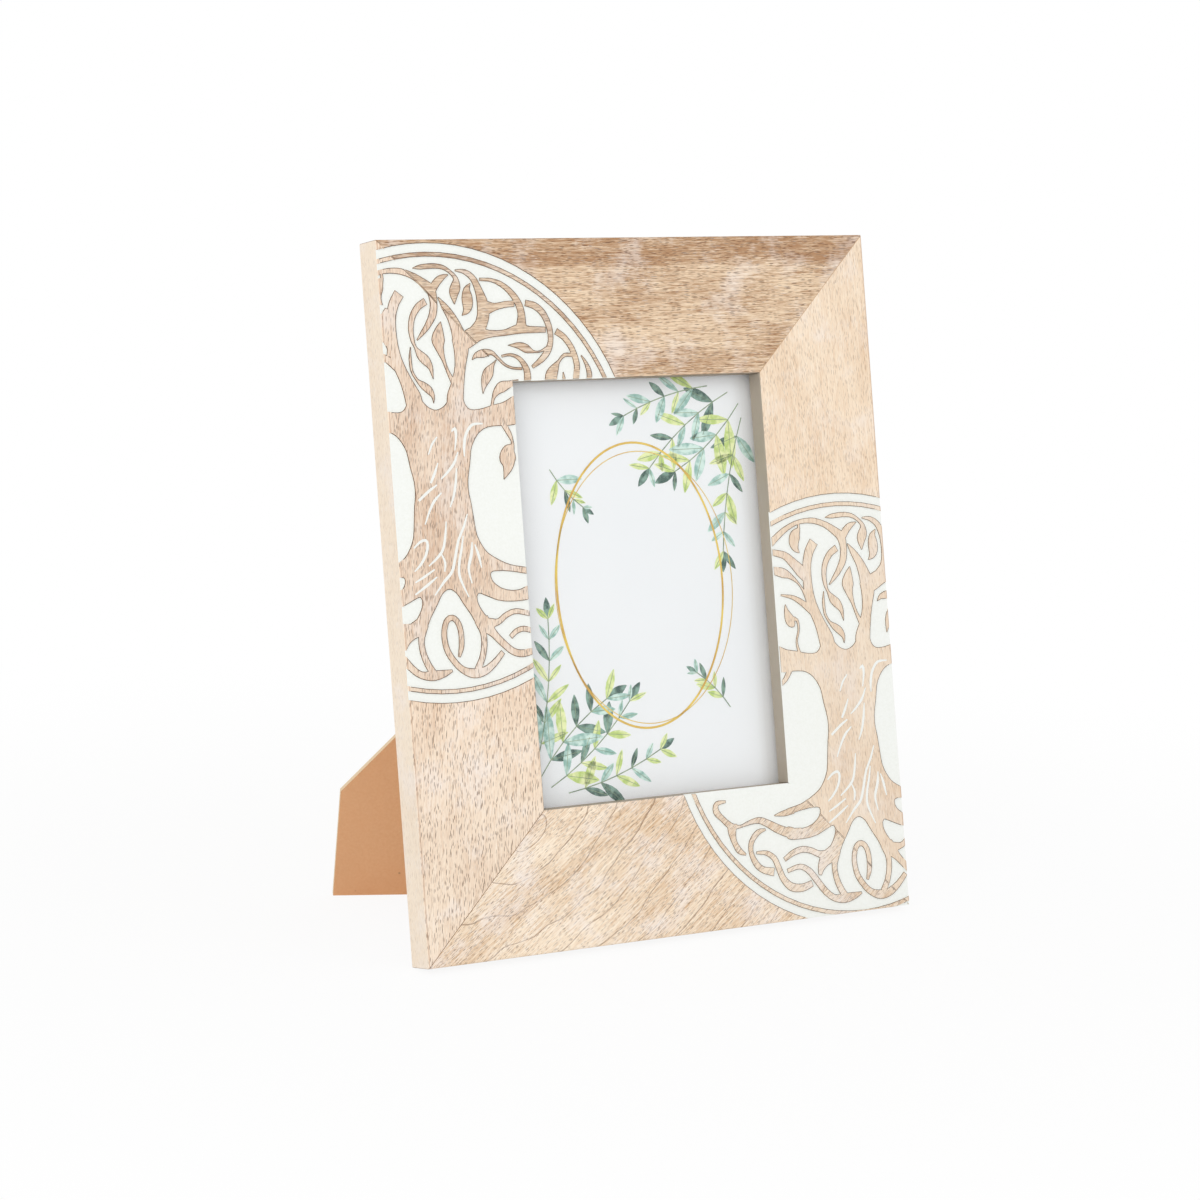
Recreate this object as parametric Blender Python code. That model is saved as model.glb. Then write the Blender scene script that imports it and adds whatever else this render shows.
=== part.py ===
"""Carved wooden picture frame with a folding leg, as separate pieces. Metres, +Z up, front towards -Y."""

import math

import bmesh
import bpy
from mathutils import Matrix, Vector

MM = 0.001

# The print that it holds, and how far the rails lap over it at its sides and ends
PRINT_WIDTH = 130 * MM
PRINT_HEIGHT = 180 * MM
SIDE_LAP = 5 * MM
END_LAP = 3 * MM
REBATE_PLAY = 0.5 * MM

# Wooden rails
RAIL_WIDTH = 58 * MM
RAIL_DEPTH = 14.5 * MM
OUTER_ARRIS = 0.6 * MM
INNER_ARRIS = 0.5 * MM
MITRE_GAP = 0.3 * MM

# Glass, card and board in the rebate
GLASS_THICKNESS = 2.0 * MM
CARD_THICKNESS = 0.25 * MM
BOARD_THICKNESS = 3.5 * MM
LIP_DEPTH = 8.0 * MM
SEAT_GAP = 0.25 * MM

# Carving
CARVING_DEPTH = 0.6 * MM
SLIT_DEPTH = 0.45 * MM
MEDALLION_RADIUS = 92 * MM
RIM_GROOVE_WIDTH = 3.5 * MM
RIM_BAND_WIDTH = 1.9 * MM
UPPER_FROM_LEFT = 21.6 * MM
UPPER_FROM_TOP = 93.5 * MM
LOWER_FROM_RIGHT = 23.7 * MM
LOWER_FROM_BOTTOM = 87.2 * MM
CUTTER_OVERSHOOT = 1.0 * MM
STROKE_STEP = 1.2 * MM
CURVE_ERROR = 0.05
SLIT_WIDENING = 0.3
RING_STEPS = 80

# Nails across the mitres, pressed in from behind
NAIL_LEG = 5.0 * MM
NAIL_THICKNESS = 0.6 * MM
NAIL_LENGTH = 8.0 * MM
NAIL_SINK = 0.3 * MM
NAIL_CLEARANCE = 0.25 * MM
NAIL_OFFSETS = (17 * MM, 37 * MM)

# Turn buttons and their screws
BUTTON_WIDTH = 8.0 * MM
BUTTON_REACH = 13.0 * MM
BUTTON_THICKNESS = 0.8 * MM
BUTTON_FROM_REBATE = 7.0 * MM
BUTTON_FROM_BOTTOM = 45 * MM
BUTTON_FROM_TOP = 40 * MM
SCREW_SHANK_RADIUS = 1.2 * MM
SCREW_HEAD_RADIUS = 2.7 * MM
SCREW_HEAD_HEIGHT = 1.4 * MM
SCREW_LENGTH = 8.0 * MM
SLOT_WIDTH = 0.7 * MM
SLOT_DEPTH = 0.6 * MM
SLOT_TURN = 37
BUTTON_PLAY = 0.1 * MM

# Leg and its hinge. The hinge runs at 45 degrees, so that the frame stands upright or on its left side
LEAN = math.radians(11.3)
LEG_OPENING = math.radians(31)
HINGE_TO_BOARD_EDGE = 5.3 * MM
LEG_THICKNESS = 3.0 * MM
FOOT_EDGE = 49 * MM
SIDE_FOOT_ANGLE = math.radians(43)
LEG_TAPER = math.radians(3)
HEEL_CHAMFER = 14 * MM
HINGE_LENGTH = 44 * MM
MIDDLE_KNUCKLE = 16 * MM
KNUCKLE_GAP = 0.3 * MM
KNUCKLE_RADIUS = 1.8 * MM
PIN_RADIUS = 0.9 * MM
PIN_CLEARANCE = 0.1 * MM
PIN_HEAD_RADIUS = 1.4 * MM
PIN_HEAD = 0.5 * MM
LEAF_THICKNESS = 0.75 * MM
LEAF_INSET = 0.05 * MM
LEAF_HEIGHT = 20 * MM
LEG_LEAF_HEIGHT = 26 * MM
LEG_CLEARANCE = 0.35 * MM
RIVET_ROW = (-15 * MM, 0, 15 * MM)
RIVET_RADIUS = 1.2 * MM
RIVET_CLEARANCE = 0.25 * MM
RIVET_HEAD_RADIUS = 2.4 * MM
RIVET_HEAD = 0.7 * MM
RIVET_SEAT = 0.15 * MM

# Values that follow from the sizes above
WIDTH = PRINT_WIDTH - 2 * SIDE_LAP + 2 * RAIL_WIDTH
HEIGHT = PRINT_HEIGHT - 2 * END_LAP + 2 * RAIL_WIDTH
UPPER_MEDALLION = (UPPER_FROM_LEFT - WIDTH / 2, HEIGHT - UPPER_FROM_TOP)
LOWER_MEDALLION = (WIDTH / 2 - LOWER_FROM_RIGHT, LOWER_FROM_BOTTOM)
GLASS_FRONT = LIP_DEPTH + SEAT_GAP
CARD_FRONT = GLASS_FRONT + GLASS_THICKNESS + SEAT_GAP
BOARD_FRONT = CARD_FRONT + CARD_THICKNESS + SEAT_GAP
BOARD_BACK = BOARD_FRONT + BOARD_THICKNESS
BACK_FACE = max(RAIL_DEPTH, BOARD_BACK)
HINGE_DEPTH = BOARD_BACK + SEAT_GAP + KNUCKLE_RADIUS
HINGE_X = PRINT_WIDTH / 2 - HINGE_TO_BOARD_EDGE - (HINGE_LENGTH / 2 + LEAF_HEIGHT) * math.sqrt(0.5)
HINGE_HEIGHT = HINGE_X + WIDTH / 2
LEAF_FACE = KNUCKLE_RADIUS - LEAF_INSET
LEG_FRONT = KNUCKLE_RADIUS + LEG_CLEARANCE
HEEL = (LEG_FRONT * math.cos(LEG_OPENING) + LEAF_FACE - LEAF_THICKNESS - SEAT_GAP) / math.sin(LEG_OPENING)
FOOT_ANGLE = math.atan(
    math.cos(LEG_OPENING) + math.sqrt(2) * math.sin(LEG_OPENING) * math.tan(LEAN))

# How far the rounded lower front edge stays behind a sharp one
FRONT_REACH = OUTER_ARRIS * (math.cos(LEAN) + math.sin(LEAN) - 1)

COLLECTION = bpy.data.collections.new("picture_frame")
CUTTERS = bpy.data.collections.new("cutters")


def clear_scene():
    for item in list(bpy.data.objects):
        bpy.data.objects.remove(item, do_unlink=True)
    bpy.context.scene.collection.children.link(COLLECTION)
    bpy.context.scene.collection.children.link(CUTTERS)


def make_material(name, colour, roughness, metallic=0.0):
    material = bpy.data.materials.new(name)
    material.use_nodes = True
    shader = material.node_tree.nodes["Principled BSDF"]
    shader.inputs["Base Color"].default_value = (*colour, 1.0)
    shader.inputs["Roughness"].default_value = roughness
    shader.inputs["Metallic"].default_value = metallic
    return material


def empty(name, parent=None, location=(0, 0, 0), rotation=(0, 0, 0)):
    item = bpy.data.objects.new(name, None)
    COLLECTION.objects.link(item)
    item.parent = parent
    item.location = location
    item.rotation_euler = rotation
    return item


def mesh_object(name, bm, parent, material=None, location=(0, 0, 0), rotation=(0, 0, 0)):
    """Put a bmesh in an object. With no material it is a cutter."""
    mesh = bpy.data.meshes.new(name)
    bmesh.ops.recalc_face_normals(bm, faces=bm.faces)
    bm.to_mesh(mesh)
    bm.free()
    item = bpy.data.objects.new(name, mesh)
    item.parent = parent
    item.location = location
    item.rotation_euler = rotation
    if material is None:
        CUTTERS.objects.link(item)
        item.hide_render = True
        item.display_type = "WIRE"
    else:
        COLLECTION.objects.link(item)
        mesh.materials.append(material)
    return item


def box_mesh(low, high):
    bm = bmesh.new()
    bmesh.ops.create_cube(bm, size=1.0)
    low = Vector(low)
    high = Vector(high)
    bmesh.ops.scale(bm, vec=high - low, verts=bm.verts)
    bmesh.ops.translate(bm, vec=(high + low) / 2, verts=bm.verts)
    return bm


def add_cylinder(bm, radius, low, high, segments, axis="Y", centre=(0, 0, 0)):
    """Add a closed cylinder that runs from low to high along an axis."""
    turn = {"X": Matrix.Rotation(math.pi / 2, 4, "Y"), "Y": Matrix.Rotation(-math.pi / 2, 4, "X")}[axis]
    shift = Matrix.Translation(Vector(centre)) @ turn @ Matrix.Translation((0, 0, (low + high) / 2))
    bmesh.ops.create_cone(
        bm, cap_ends=True, segments=segments, radius1=radius, radius2=radius, depth=high - low,
        matrix=shift)


def turned_mesh(profile, segments):
    """Closed turned shape about the Y axis, from (y, radius) points."""
    bm = bmesh.new()
    turns = [2 * math.pi * index / segments for index in range(segments)]
    rings = []
    for y, radius in profile:
        rings.append([bm.verts.new((radius * math.cos(turn), y, radius * math.sin(turn))) for turn in turns])
    for ring, following in zip(rings, rings[1:]):
        for index in range(segments):
            bm.faces.new((ring[index], ring[index - 1], following[index - 1], following[index]))
    bm.faces.new(rings[0])
    bm.faces.new(rings[-1])
    return bm


def prism_mesh(outline, front, back):
    """Extrude an outline of (x, z) points from y=front to y=back."""
    bm = bmesh.new()
    corners = [bm.verts.new((x, front, z)) for x, z in outline]
    face = bm.faces.new(corners)
    grown = bmesh.ops.extrude_face_region(bm, geom=[face])
    moved = [part for part in grown["geom"] if isinstance(part, bmesh.types.BMVert)]
    bmesh.ops.translate(bm, vec=(0, back - front, 0), verts=moved)
    return bm


def boolean(target, operand, operation="DIFFERENCE"):
    """Cut or join with one object, or with all objects of a collection."""
    modifier = target.modifiers.new("boolean", "BOOLEAN")
    modifier.operation = operation
    modifier.solver = "EXACT"
    if isinstance(operand, bpy.types.Collection):
        modifier.operand_type = "COLLECTION"
        modifier.collection = operand
    else:
        modifier.object = operand


def smooth_path(points, closed=False, step=STROKE_STEP):
    """Points of a curve that runs through the given ones, about one step apart."""
    count = len(points)
    spans = count if closed else count - 1
    path = []
    for index in range(spans):
        if closed:
            around = [points[(index + offset) % count] for offset in (-1, 0, 1, 2)]
        else:
            around = [points[min(max(index + offset, 0), count - 1)] for offset in (-1, 0, 1, 2)]
        before, start, end, after = [Vector(point) for point in around]
        pieces = max(1, round((end - start).length * MM / step))
        for piece in range(pieces):
            t = piece / pieces
            path.append(0.5 * (
                2 * start + (end - before) * t
                + (2 * before - 5 * start + 4 * end - after) * t ** 2
                + (3 * start - before - 3 * end + after) * t ** 3))
    if not closed:
        path.append(Vector(points[-1]))
    return path


def thin_out(line):
    """Drop the points of a line that lie within CURVE_ERROR millimetres of its chords."""
    start = line[0]
    end = line[-1]
    chord = (end - start).normalized()
    offsets = [abs((point - start).cross(chord)) for point in line[1:-1]]
    if not offsets or max(offsets) < CURVE_ERROR:
        return [start, end]
    split = offsets.index(max(offsets)) + 1
    return thin_out(line[:split + 1])[:-1] + thin_out(line[split:])


def ribbon(points, widening=0.0):
    """Outline of a stroke through (x, y, width) points, all in millimetres."""
    path = smooth_path(points)
    left = []
    right = []
    for index, point in enumerate(path):
        ahead = path[min(index + 1, len(path) - 1)]
        behind = path[max(index - 1, 0)]
        along = (ahead.xy - behind.xy).normalized()
        half = (max(point.z, 0.15) + widening) / 2
        side = Vector((-along.y, along.x)) * half
        left.append(point.xy + side)
        right.append(point.xy - side)
    return thin_out(left) + thin_out(right)[::-1]


# The tree of life, in millimetres from the centre of its medallion

# Right half of the trunk, from the upper fork down to the lower one, with the arms and roots it grows
TRUNK_HALF = [
    (0, 25.2), (3.4, 26.4), (6, 29), (9, 31), (12.4, 30.4), (13.3, 27.4), (15.5, 25), (20, 24.9),
    (26, 26.3),
    (31, 27.3), (37, 29.6), (37, 24), (37, 18.6), (31.5, 17.6), (27, 17.7), (22, 17), (18, 14.4),
    (15, 9.5),
    (13.7, 3), (12.4, -3), (12.2, -8), (13, -13), (13.7, -19), (14.7, -26), (18, -32), (22.5, -35.4),
    (29, -38.4), (37, -40.2), (37, -42.6), (30, -41.4), (24, -40.7), (19.8, -41.2), (20.2, -44.4),
    (23.4, -47.2), (27.5, -48.6), (32, -48.7), (37, -47.6), (37, -52.6), (28.5, -53.4), (22, -52.5),
    (17, -50.5), (13.2, -49.2), (12.6, -52), (14.2, -55.8), (17.2, -59.4), (20, -60.2), (19, -64),
    (14, -64),
    (11, -61), (9, -57.4), (6, -53), (3.2, -48.6)]
TRUNK_FORK = (0, -46.8)

BRANCHES = [
    # Left limb, its cut end and its side shoots
    [(-9.3, 25, 7), (-9.9, 30, 7.6), (-12.6, 37, 5.4), (-15.6, 44, 5), (-17.1, 50, 4.8),
     (-17.5, 57, 4.4),
     (-17.1, 63, 4.3), (-15.5, 68, 4.5), (-12.8, 72, 4.6)],
    [(-17, 55, 3), (-20.6, 59.8, 5), (-24, 63.3, 4.2), (-28.5, 67, 3.3), (-35.5, 68.8, 2.5)],
    [(-17.6, 46, 2), (-20, 51.5, 1.2), (-22.5, 55, 1.1), (-26, 57.9, 2.4), (-29.8, 59.6, 4.2),
     (-35, 61, 3.2)],
    [(-14.6, 41, 3.4), (-20.4, 45.9, 2.8), (-25.5, 48.9, 1.9), (-31.6, 50.3, 0.7)],
    [(-26.5, 39.8, 2.4), (-24.2, 39.2, 1.3), (-23.8, 35, 1), (-25.2, 30, 1), (-24, 24.5, 1.6)],
    # Arc over the top left, the fork above the middle and its two ends
    [(-35.5, 72, 3.2), (-28, 77.4, 2.6), (-20.5, 80.6, 2), (-13, 81, 2.5), (-6.8, 79.2, 2.7),
     (-2.2, 76.4, 3.4), (1.4, 73.4, 4.2), (2.4, 68.5, 3.4), (1.7, 63.5, 3.4), (-0.8, 59.2, 2.7),
     (-3.6, 56, 1.9), (-6.3, 53.2, 0.5)],
    [(1.8, 72.5, 3.4), (4.1, 75.8, 3.4), (6.8, 78, 2.6), (10, 79.2, 0.4)],
    # Loop and its two leaves in the left half of the almond
    [(-1.2, 68.7, 3), (-4.9, 66.4, 2.9), (-7.6, 62.6, 2.7), (-8.7, 58, 2.4), (-8.4, 53.6, 1.9),
     (-7.2, 50.3, 1.3), (-5.2, 47.2, 3.6), (-3, 45, 4), (-1, 42, 2.2), (-0.2, 37.4, 0.2)],
    [(-9.5, 50.6, 0.3), (-10, 46, 1.3), (-9.6, 41, 1.2), (-7.6, 37.4, 1.3), (-5.2, 35.3, 2.9),
     (-2.6, 33.2, 3.3), (-0.9, 30.6, 1.7), (-0.8, 27.8, 0.2)],
    # Leaf in the right half of the almond, on its stem from the right limb
    [(5, 60.4, 0.3), (4.1, 57.3, 3.6), (3.3, 53.2, 6), (3.7, 49.6, 3.8), (5.1, 45, 1.7),
     (6.6, 40.5, 1.5),
     (9, 35.5, 2.4)],
    # Right limb with the shoot to its upper left
    [(8.9, 25, 7), (9.2, 30, 7.6), (11, 36, 5.6), (12.4, 42, 5), (13.4, 48, 6.5), (13.6, 53, 8)],
    [(13.6, 49, 6), (13.2, 53, 6.6), (12.2, 57, 5.6), (10.2, 61.8, 4.2), (7.4, 66.2, 3),
     (4.6, 70.2, 0.5)],
    # Bough to the right, and the arcs that cross it
    [(12.5, 50, 5), (16, 52.6, 7), (21, 55, 6.6), (27, 55, 3.2), (34, 55.3, 2.6), (41, 56.7, 4),
     (46, 56.3, 2.9),
     (53.4, 56.1, 2.4)],
    [(13.2, 80.9, 0.7), (17.6, 80.2, 2.1), (21.2, 77.5, 2.8), (23.3, 73, 3.4), (24.7, 68, 5),
     (24.8, 63, 5.6), (23.4, 59, 5.6), (21, 55.5, 7)],
    [(23, 66, 5), (26.6, 65.6, 5.6), (30.5, 65.9, 3.1), (35, 66.7, 2.7), (39.4, 67, 2.6)],
    [(24.2, 77.1, 1.3), (29.5, 76.7, 1.6), (34, 75, 2.2), (38.3, 71.6, 2.7), (41.3, 67.3, 3.2),
     (42.5, 63, 3.4), (42.2, 59, 4.4), (42, 55.6, 6.4)],
    [(44.6, 67.2, 2.6), (49, 65.9, 3), (52.6, 62.8, 3), (55, 57.6, 2.8), (55.4, 52, 2.5),
     (53.8, 47.6, 2.9),
     (50.4, 44, 2.6), (45.8, 41, 1.4)],
    [(54, 49, 1.5), (50, 47.3, 0.9), (46.8, 47.3, 1.3), (43.8, 48.5, 3.6), (40.4, 49.9, 2.9),
     (35.2, 50.2, 0.2)],
    # Arcs and leaves down the right side
    [(58.1, 55.4, 2.8), (62, 52.6, 2.7), (65.2, 47.9, 2.7), (66.9, 42, 2.8), (66.4, 37, 2.8),
     (65, 32, 2.8)],
    [(69.3, 45.2, 0.5), (71.4, 41.8, 1.7), (72.6, 37.8, 2.5), (72, 32, 2.4)],
    [(65, 45.4, 1.6), (61.4, 45.5, 1.7), (58.5, 43, 1.4), (56.3, 40.2, 4), (54.4, 37, 5.6),
     (53.8, 32, 5)],
    [(60.2, 38.6, 0.4), (60.4, 36, 1.4), (60.6, 32, 2)],
    [(31.9, 45.8, 1.1), (36, 46.3, 1.3), (40, 44.7, 1.9), (42.7, 41, 2.8), (43.3, 37.6, 3.2),
     (42.8, 32, 3.3)],
    [(18.1, 44.7, 0.3), (20.2, 46.5, 2.3), (23.6, 47.2, 3.5), (27.2, 47.4, 2.1), (29.9, 45.3, 1.3),
     (33, 42.4, 1.2), (36.6, 40.9, 1.1), (41, 40.5, 1.2)],
    [(29.4, 44.5, 0.3), (27.4, 42.4, 1.7), (25.4, 39.6, 4.6), (23.8, 36.8, 4.2),
     (22.6, 33.8, 2.1), (22, 30.9, 0.2)],
    [(25.6, 24.5, 1.6), (26.4, 28.4, 1.3), (28.2, 31.4, 3), (31, 33.4, 4.6), (34.6, 34.4, 3),
     (39, 35.6, 1.4)],
    # Leaves under the rim at the top
    [(-6, 82, 0.3), (-2.6, 82.4, 2), (3, 82.8, 2.2), (7.6, 82.2, 1.9), (11, 80.2, 1.6),
     (13.2, 77.6, 2.2),
     (13, 74.6, 4.4), (12, 71.6, 4.2), (11.9, 67.2, 0.3)],
    [(19.8, 75.6, 0.3), (18.1, 73.2, 3), (17.9, 70, 4.9), (17.9, 66.6, 4.6), (17, 64.4, 3),
     (15, 62.7, 0.3)],
    [(-20.2, 80.6, 1.2), (-20, 78.2, 1.4), (-22, 75.4, 5), (-23, 72.2, 5), (-22.2, 69.4, 3),
     (-20.6, 67.6, 0.4)],
    [(-29.7, 46.2, 0.3), (-29.4, 43.4, 2.3), (-28.2, 40.2, 4.6), (-27, 38, 4), (-25.6, 37.2, 1.4)],
    # Hanging leaf beside the trunk on the right, stem of the one on the left
    [(30.4, 18.6, 2.6), (32.8, 14.2, 2.2), (34, 10.4, 1.4), (32.2, 7.6, 6), (31.2, 4.4, 7.6),
     (31, 0.8, 4.6), (28.8, -4, 0.3)],
    [(-29.6, 18.6, 2.6), (-32.4, 14.6, 2.2), (-36, 11.6, 1.4)]]

# The upper medallion alone: the outer side of its left limb is left solid beside the edge of the stile
UPPER_LIMB_SIDE = [
    [(-19, 66.2, 1.2), (-20.4, 62.6, 3), (-20.2, 58, 4.8), (-18.9, 54.4, 4.8), (-18, 50.6, 4),
     (-19, 46.8, 3)]]

ROOTS = [
    # Loop knot in the middle, running out to the right
    [(2.4, -74, 1.2), (3.7, -70, 2.4), (4, -65, 2.5), (3.2, -60.9, 2.5), (1.5, -58.6, 2.5),
     (-0.6, -58.2, 2.5),
     (-2.5, -59.8, 2.5), (-3.5, -62.8, 2.5)],
    [(-2.5, -59.8, 2.5), (-3.5, -62.8, 2.5), (-3.7, -66.5, 2.6), (-2.8, -71, 2.7), (-0.2, -75.4, 2.7),
     (3.6, -79.2, 2.9), (8.6, -81, 4), (13.6, -80.4, 3.5), (18.2, -77.6, 2.9), (22.6, -73.4, 2.2)],
    # Right root, its strand down to the knot and its strand to the right
    [(12.4, -60, 4), (14.1, -65, 2.9), (14.2, -70, 2.8), (12.9, -75, 2.8), (10.4, -79.6, 3)],
    [(14, -60.5, 7), (18.6, -65.4, 3.6), (22.4, -69.4, 3.1), (27, -73.3, 3), (31.5, -74.6, 3.1),
     (37, -73.9, 2.6)],
    [(16.5, -61.4, 4.6), (21.4, -61.1, 2.7), (25.4, -58.6, 2.4), (30, -57.4, 2.3), (36.5, -58.8, 2.2)],
    [(26.6, -67.6, 2), (29.6, -65.4, 2.3), (33, -64.7, 2.3), (37, -65.8, 2.2)],
    # Left root, its strand down, and the strand that runs from there out to the left
    [(-12.4, -60, 4), (-14.1, -66, 2.8), (-13.8, -71, 2.8), (-12, -76, 3), (-9.4, -80, 3)],
    [(-1.1, -79.2, 1), (-5, -80.1, 3.1), (-10, -80.6, 4.2), (-15.2, -80, 3), (-19.6, -76.8, 3),
     (-23.6, -71.8, 3), (-27.4, -67.2, 2.8), (-32, -64.9, 2.3), (-38.4, -66.1, 1.8)],
    [(-13.5, -60.5, 7), (-18.4, -63, 6), (-21, -66.4, 3.6), (-21.9, -69.6, 1.5)],
    [(-16.5, -61.4, 4.6), (-21.6, -60.6, 2.9), (-26, -58.6, 2.7), (-30.4, -57.8, 2.8),
     (-35, -58.8, 2.6),
     (-39.5, -61.2, 2)],
    # Long root arms on the left
    [(-33, -41.1, 2.4), (-38, -41.7, 2.6), (-43, -42.2, 0.5)],
    [(-30, -51, 4.8), (-36, -50.2, 4.2), (-42, -47.8, 3.8), (-47, -45, 3.2), (-51, -43.5, 2.8),
     (-55.5, -43.9, 2),
     (-60.5, -45.1, 1.3), (-65, -44.6, 2.8), (-69, -41.2, 2.5), (-72, -37.8, 3), (-71.4, -34.6, 2.2),
     (-66.9, -34.1, 1.1)],
    [(-64.5, -43.6, 5), (-64.8, -47.4, 3.8), (-64, -51.4, 2.6), (-61.8, -55.2, 2.7),
     (-58.7, -57.1, 0.9)],
    # Strands that weave past each other at the lower left
    [(-48, -47.6, 0.9), (-51.8, -48.4, 2.4), (-55.4, -52, 2.5), (-56, -56.6, 2.3), (-53.8, -61.6, 2.8),
     (-50.4, -64.4, 2.9), (-45.2, -65.8, 3.6)],
    [(-53.4, -56.9, 1.2), (-48.4, -57.5, 2.1), (-44.6, -60.2, 2.6), (-42.6, -64.8, 2.8),
     (-40.6, -69.4, 3),
     (-36.8, -73, 3.6), (-31.4, -73.9, 3.4), (-26.2, -72.6, 2.8)]]

BARK_SLITS = [
    [(-0.4, 14.4, 0.3), (-3, 11.4, 0.7), (-4.9, 7.4, 0.3)],
    [(6.3, 16.2, 0.3), (7.8, 17.4, 1.3), (8.3, 14.6, 0.9), (7.2, 8.6, 0.3)],
    [(21, 18.9, 0.3), (16, 18.6, 0.9), (12.9, 15, 1), (11.6, 10.4, 1), (11.4, 6, 0.3)],
    [(8.6, 8, 0.3), (6.6, 3.8, 0.9), (3.4, 0.2, 0.8), (0, -2.6, 0.3)],
    [(-0.9, 4, 0.3), (-2.6, 0, 0.9), (-4.8, -4, 0.8)],
    [(-2, -4.8, 0.4), (-6, -7.2, 0.9), (-10.8, -10.8, 0.8)],
    [(-0.2, -8, 0.3), (-3.6, -11, 0.9), (-6.2, -15, 0.7), (-8.7, -20.4, 0.3)],
    [(7.4, 1.6, 0.3), (6.6, -4, 0.9), (5.2, -9.6, 0.8), (3.2, -14, 0.3)],
    [(0.9, -19.6, 0.3), (0.1, -25, 0.8), (-1.4, -30.6, 0.9), (-4.4, -34, 0.8), (-8.4, -37, 0.3)],
    [(10.8, -17, 0.3), (8.8, -22, 0.8), (5.8, -27.6, 0.9), (4.2, -33, 1), (2, -39.6, 1),
     (-2, -43.6, 0.9),
     (-6.6, -48.8, 0.3)],
    [(8.2, -25.6, 0.3), (7, -31, 0.8), (5.4, -37, 0.9), (5.4, -42.4, 0.9), (8.8, -50.4, 0.3)],
    [(12, -28.4, 0.3), (11.4, -33, 1.1), (9.6, -39, 0.9), (10.7, -45, 0.3)],
    [(13.2, -29.4, 0.3), (14.5, -33.6, 1), (15.6, -39, 0.3)],
    [(-14.6, -29.6, 0.4), (-11.6, -27.2, 0.8), (-9, -26.6, 0.9), (-8.2, -28.6, 1), (-9.4, -32.6, 0.9),
     (-12, -36.2, 0.8), (-15, -38.8, 0.3)],
    [(-15, -43.2, 0.3), (-10.5, -41, 0.8), (-5.8, -38.4, 0.4)],
    [(-2.2, -32.6, 0.3), (-0.9, -36, 0.8), (-1.4, -39.6, 0.4)],
    [(-4.9, -41.4, 0.3), (-9.4, -44.4, 0.9), (-15.4, -48, 0.4)]]


def trunk_outline():
    """Closed outline of the trunk, its left half the mirror image of its right one."""
    left = [(-x, y) for x, y in TRUNK_HALF[:0:-1]]
    path = smooth_path(TRUNK_HALF + [TRUNK_FORK] + left, closed=True)
    path.append(path[0])
    middle = len(path) // 2
    return thin_out(path[:middle + 1])[:-1] + thin_out(path[middle:])[:-1]


def scaled(outline):
    return [(x * MM, z * MM) for x, z in outline]


def circle(radius):
    turns = [2 * math.pi * index / RING_STEPS for index in range(RING_STEPS)]
    return [(radius * math.cos(turn), radius * math.sin(turn)) for turn in turns]


def cutter_group(name):
    group = bpy.data.collections.new(name)
    CUTTERS.children.link(group)
    return group


def move_to_group(item, group):
    CUTTERS.objects.unlink(item)
    group.objects.link(item)


def carve_medallion(name, centre, parent, added=()):
    """Cutters of one medallion: the rim groove, the field round the tree, and the slits in the bark."""
    place = (centre[0], 0, centre[1])
    group = cutter_group(name)
    tree = cutter_group(name + "_tree")
    wood = [trunk_outline()] + [ribbon(points) for points in [*BRANCHES, *ROOTS, *added]]
    for index, outline in enumerate(wood):
        stroke = prism_mesh(scaled(outline), -2 * CUTTER_OVERSHOOT, CARVING_DEPTH + CUTTER_OVERSHOOT)
        move_to_group(mesh_object("%s_stroke_%d" % (name, index), stroke, parent, location=place), tree)
    groove_radius = MEDALLION_RADIUS - RIM_GROOVE_WIDTH
    field_radius = groove_radius - RIM_BAND_WIDTH
    field = prism_mesh(circle(field_radius), -CUTTER_OVERSHOOT, CARVING_DEPTH)
    field = mesh_object(name + "_field", field, parent, location=place)
    boolean(field, tree)
    groove = prism_mesh(circle(MEDALLION_RADIUS), -CUTTER_OVERSHOOT, CARVING_DEPTH)
    groove = mesh_object(name + "_groove", groove, parent, location=place)
    core = prism_mesh(circle(groove_radius), -2 * CUTTER_OVERSHOOT, CARVING_DEPTH + CUTTER_OVERSHOOT)
    boolean(groove, mesh_object(name + "_core", core, parent, location=place))
    move_to_group(field, group)
    move_to_group(groove, group)
    for index, points in enumerate(BARK_SLITS):
        slit = prism_mesh(scaled(ribbon(points, SLIT_WIDENING)), -CUTTER_OVERSHOOT, SLIT_DEPTH)
        move_to_group(mesh_object("%s_slit_%d" % (name, index), slit, parent, location=place), group)
    return group


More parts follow.
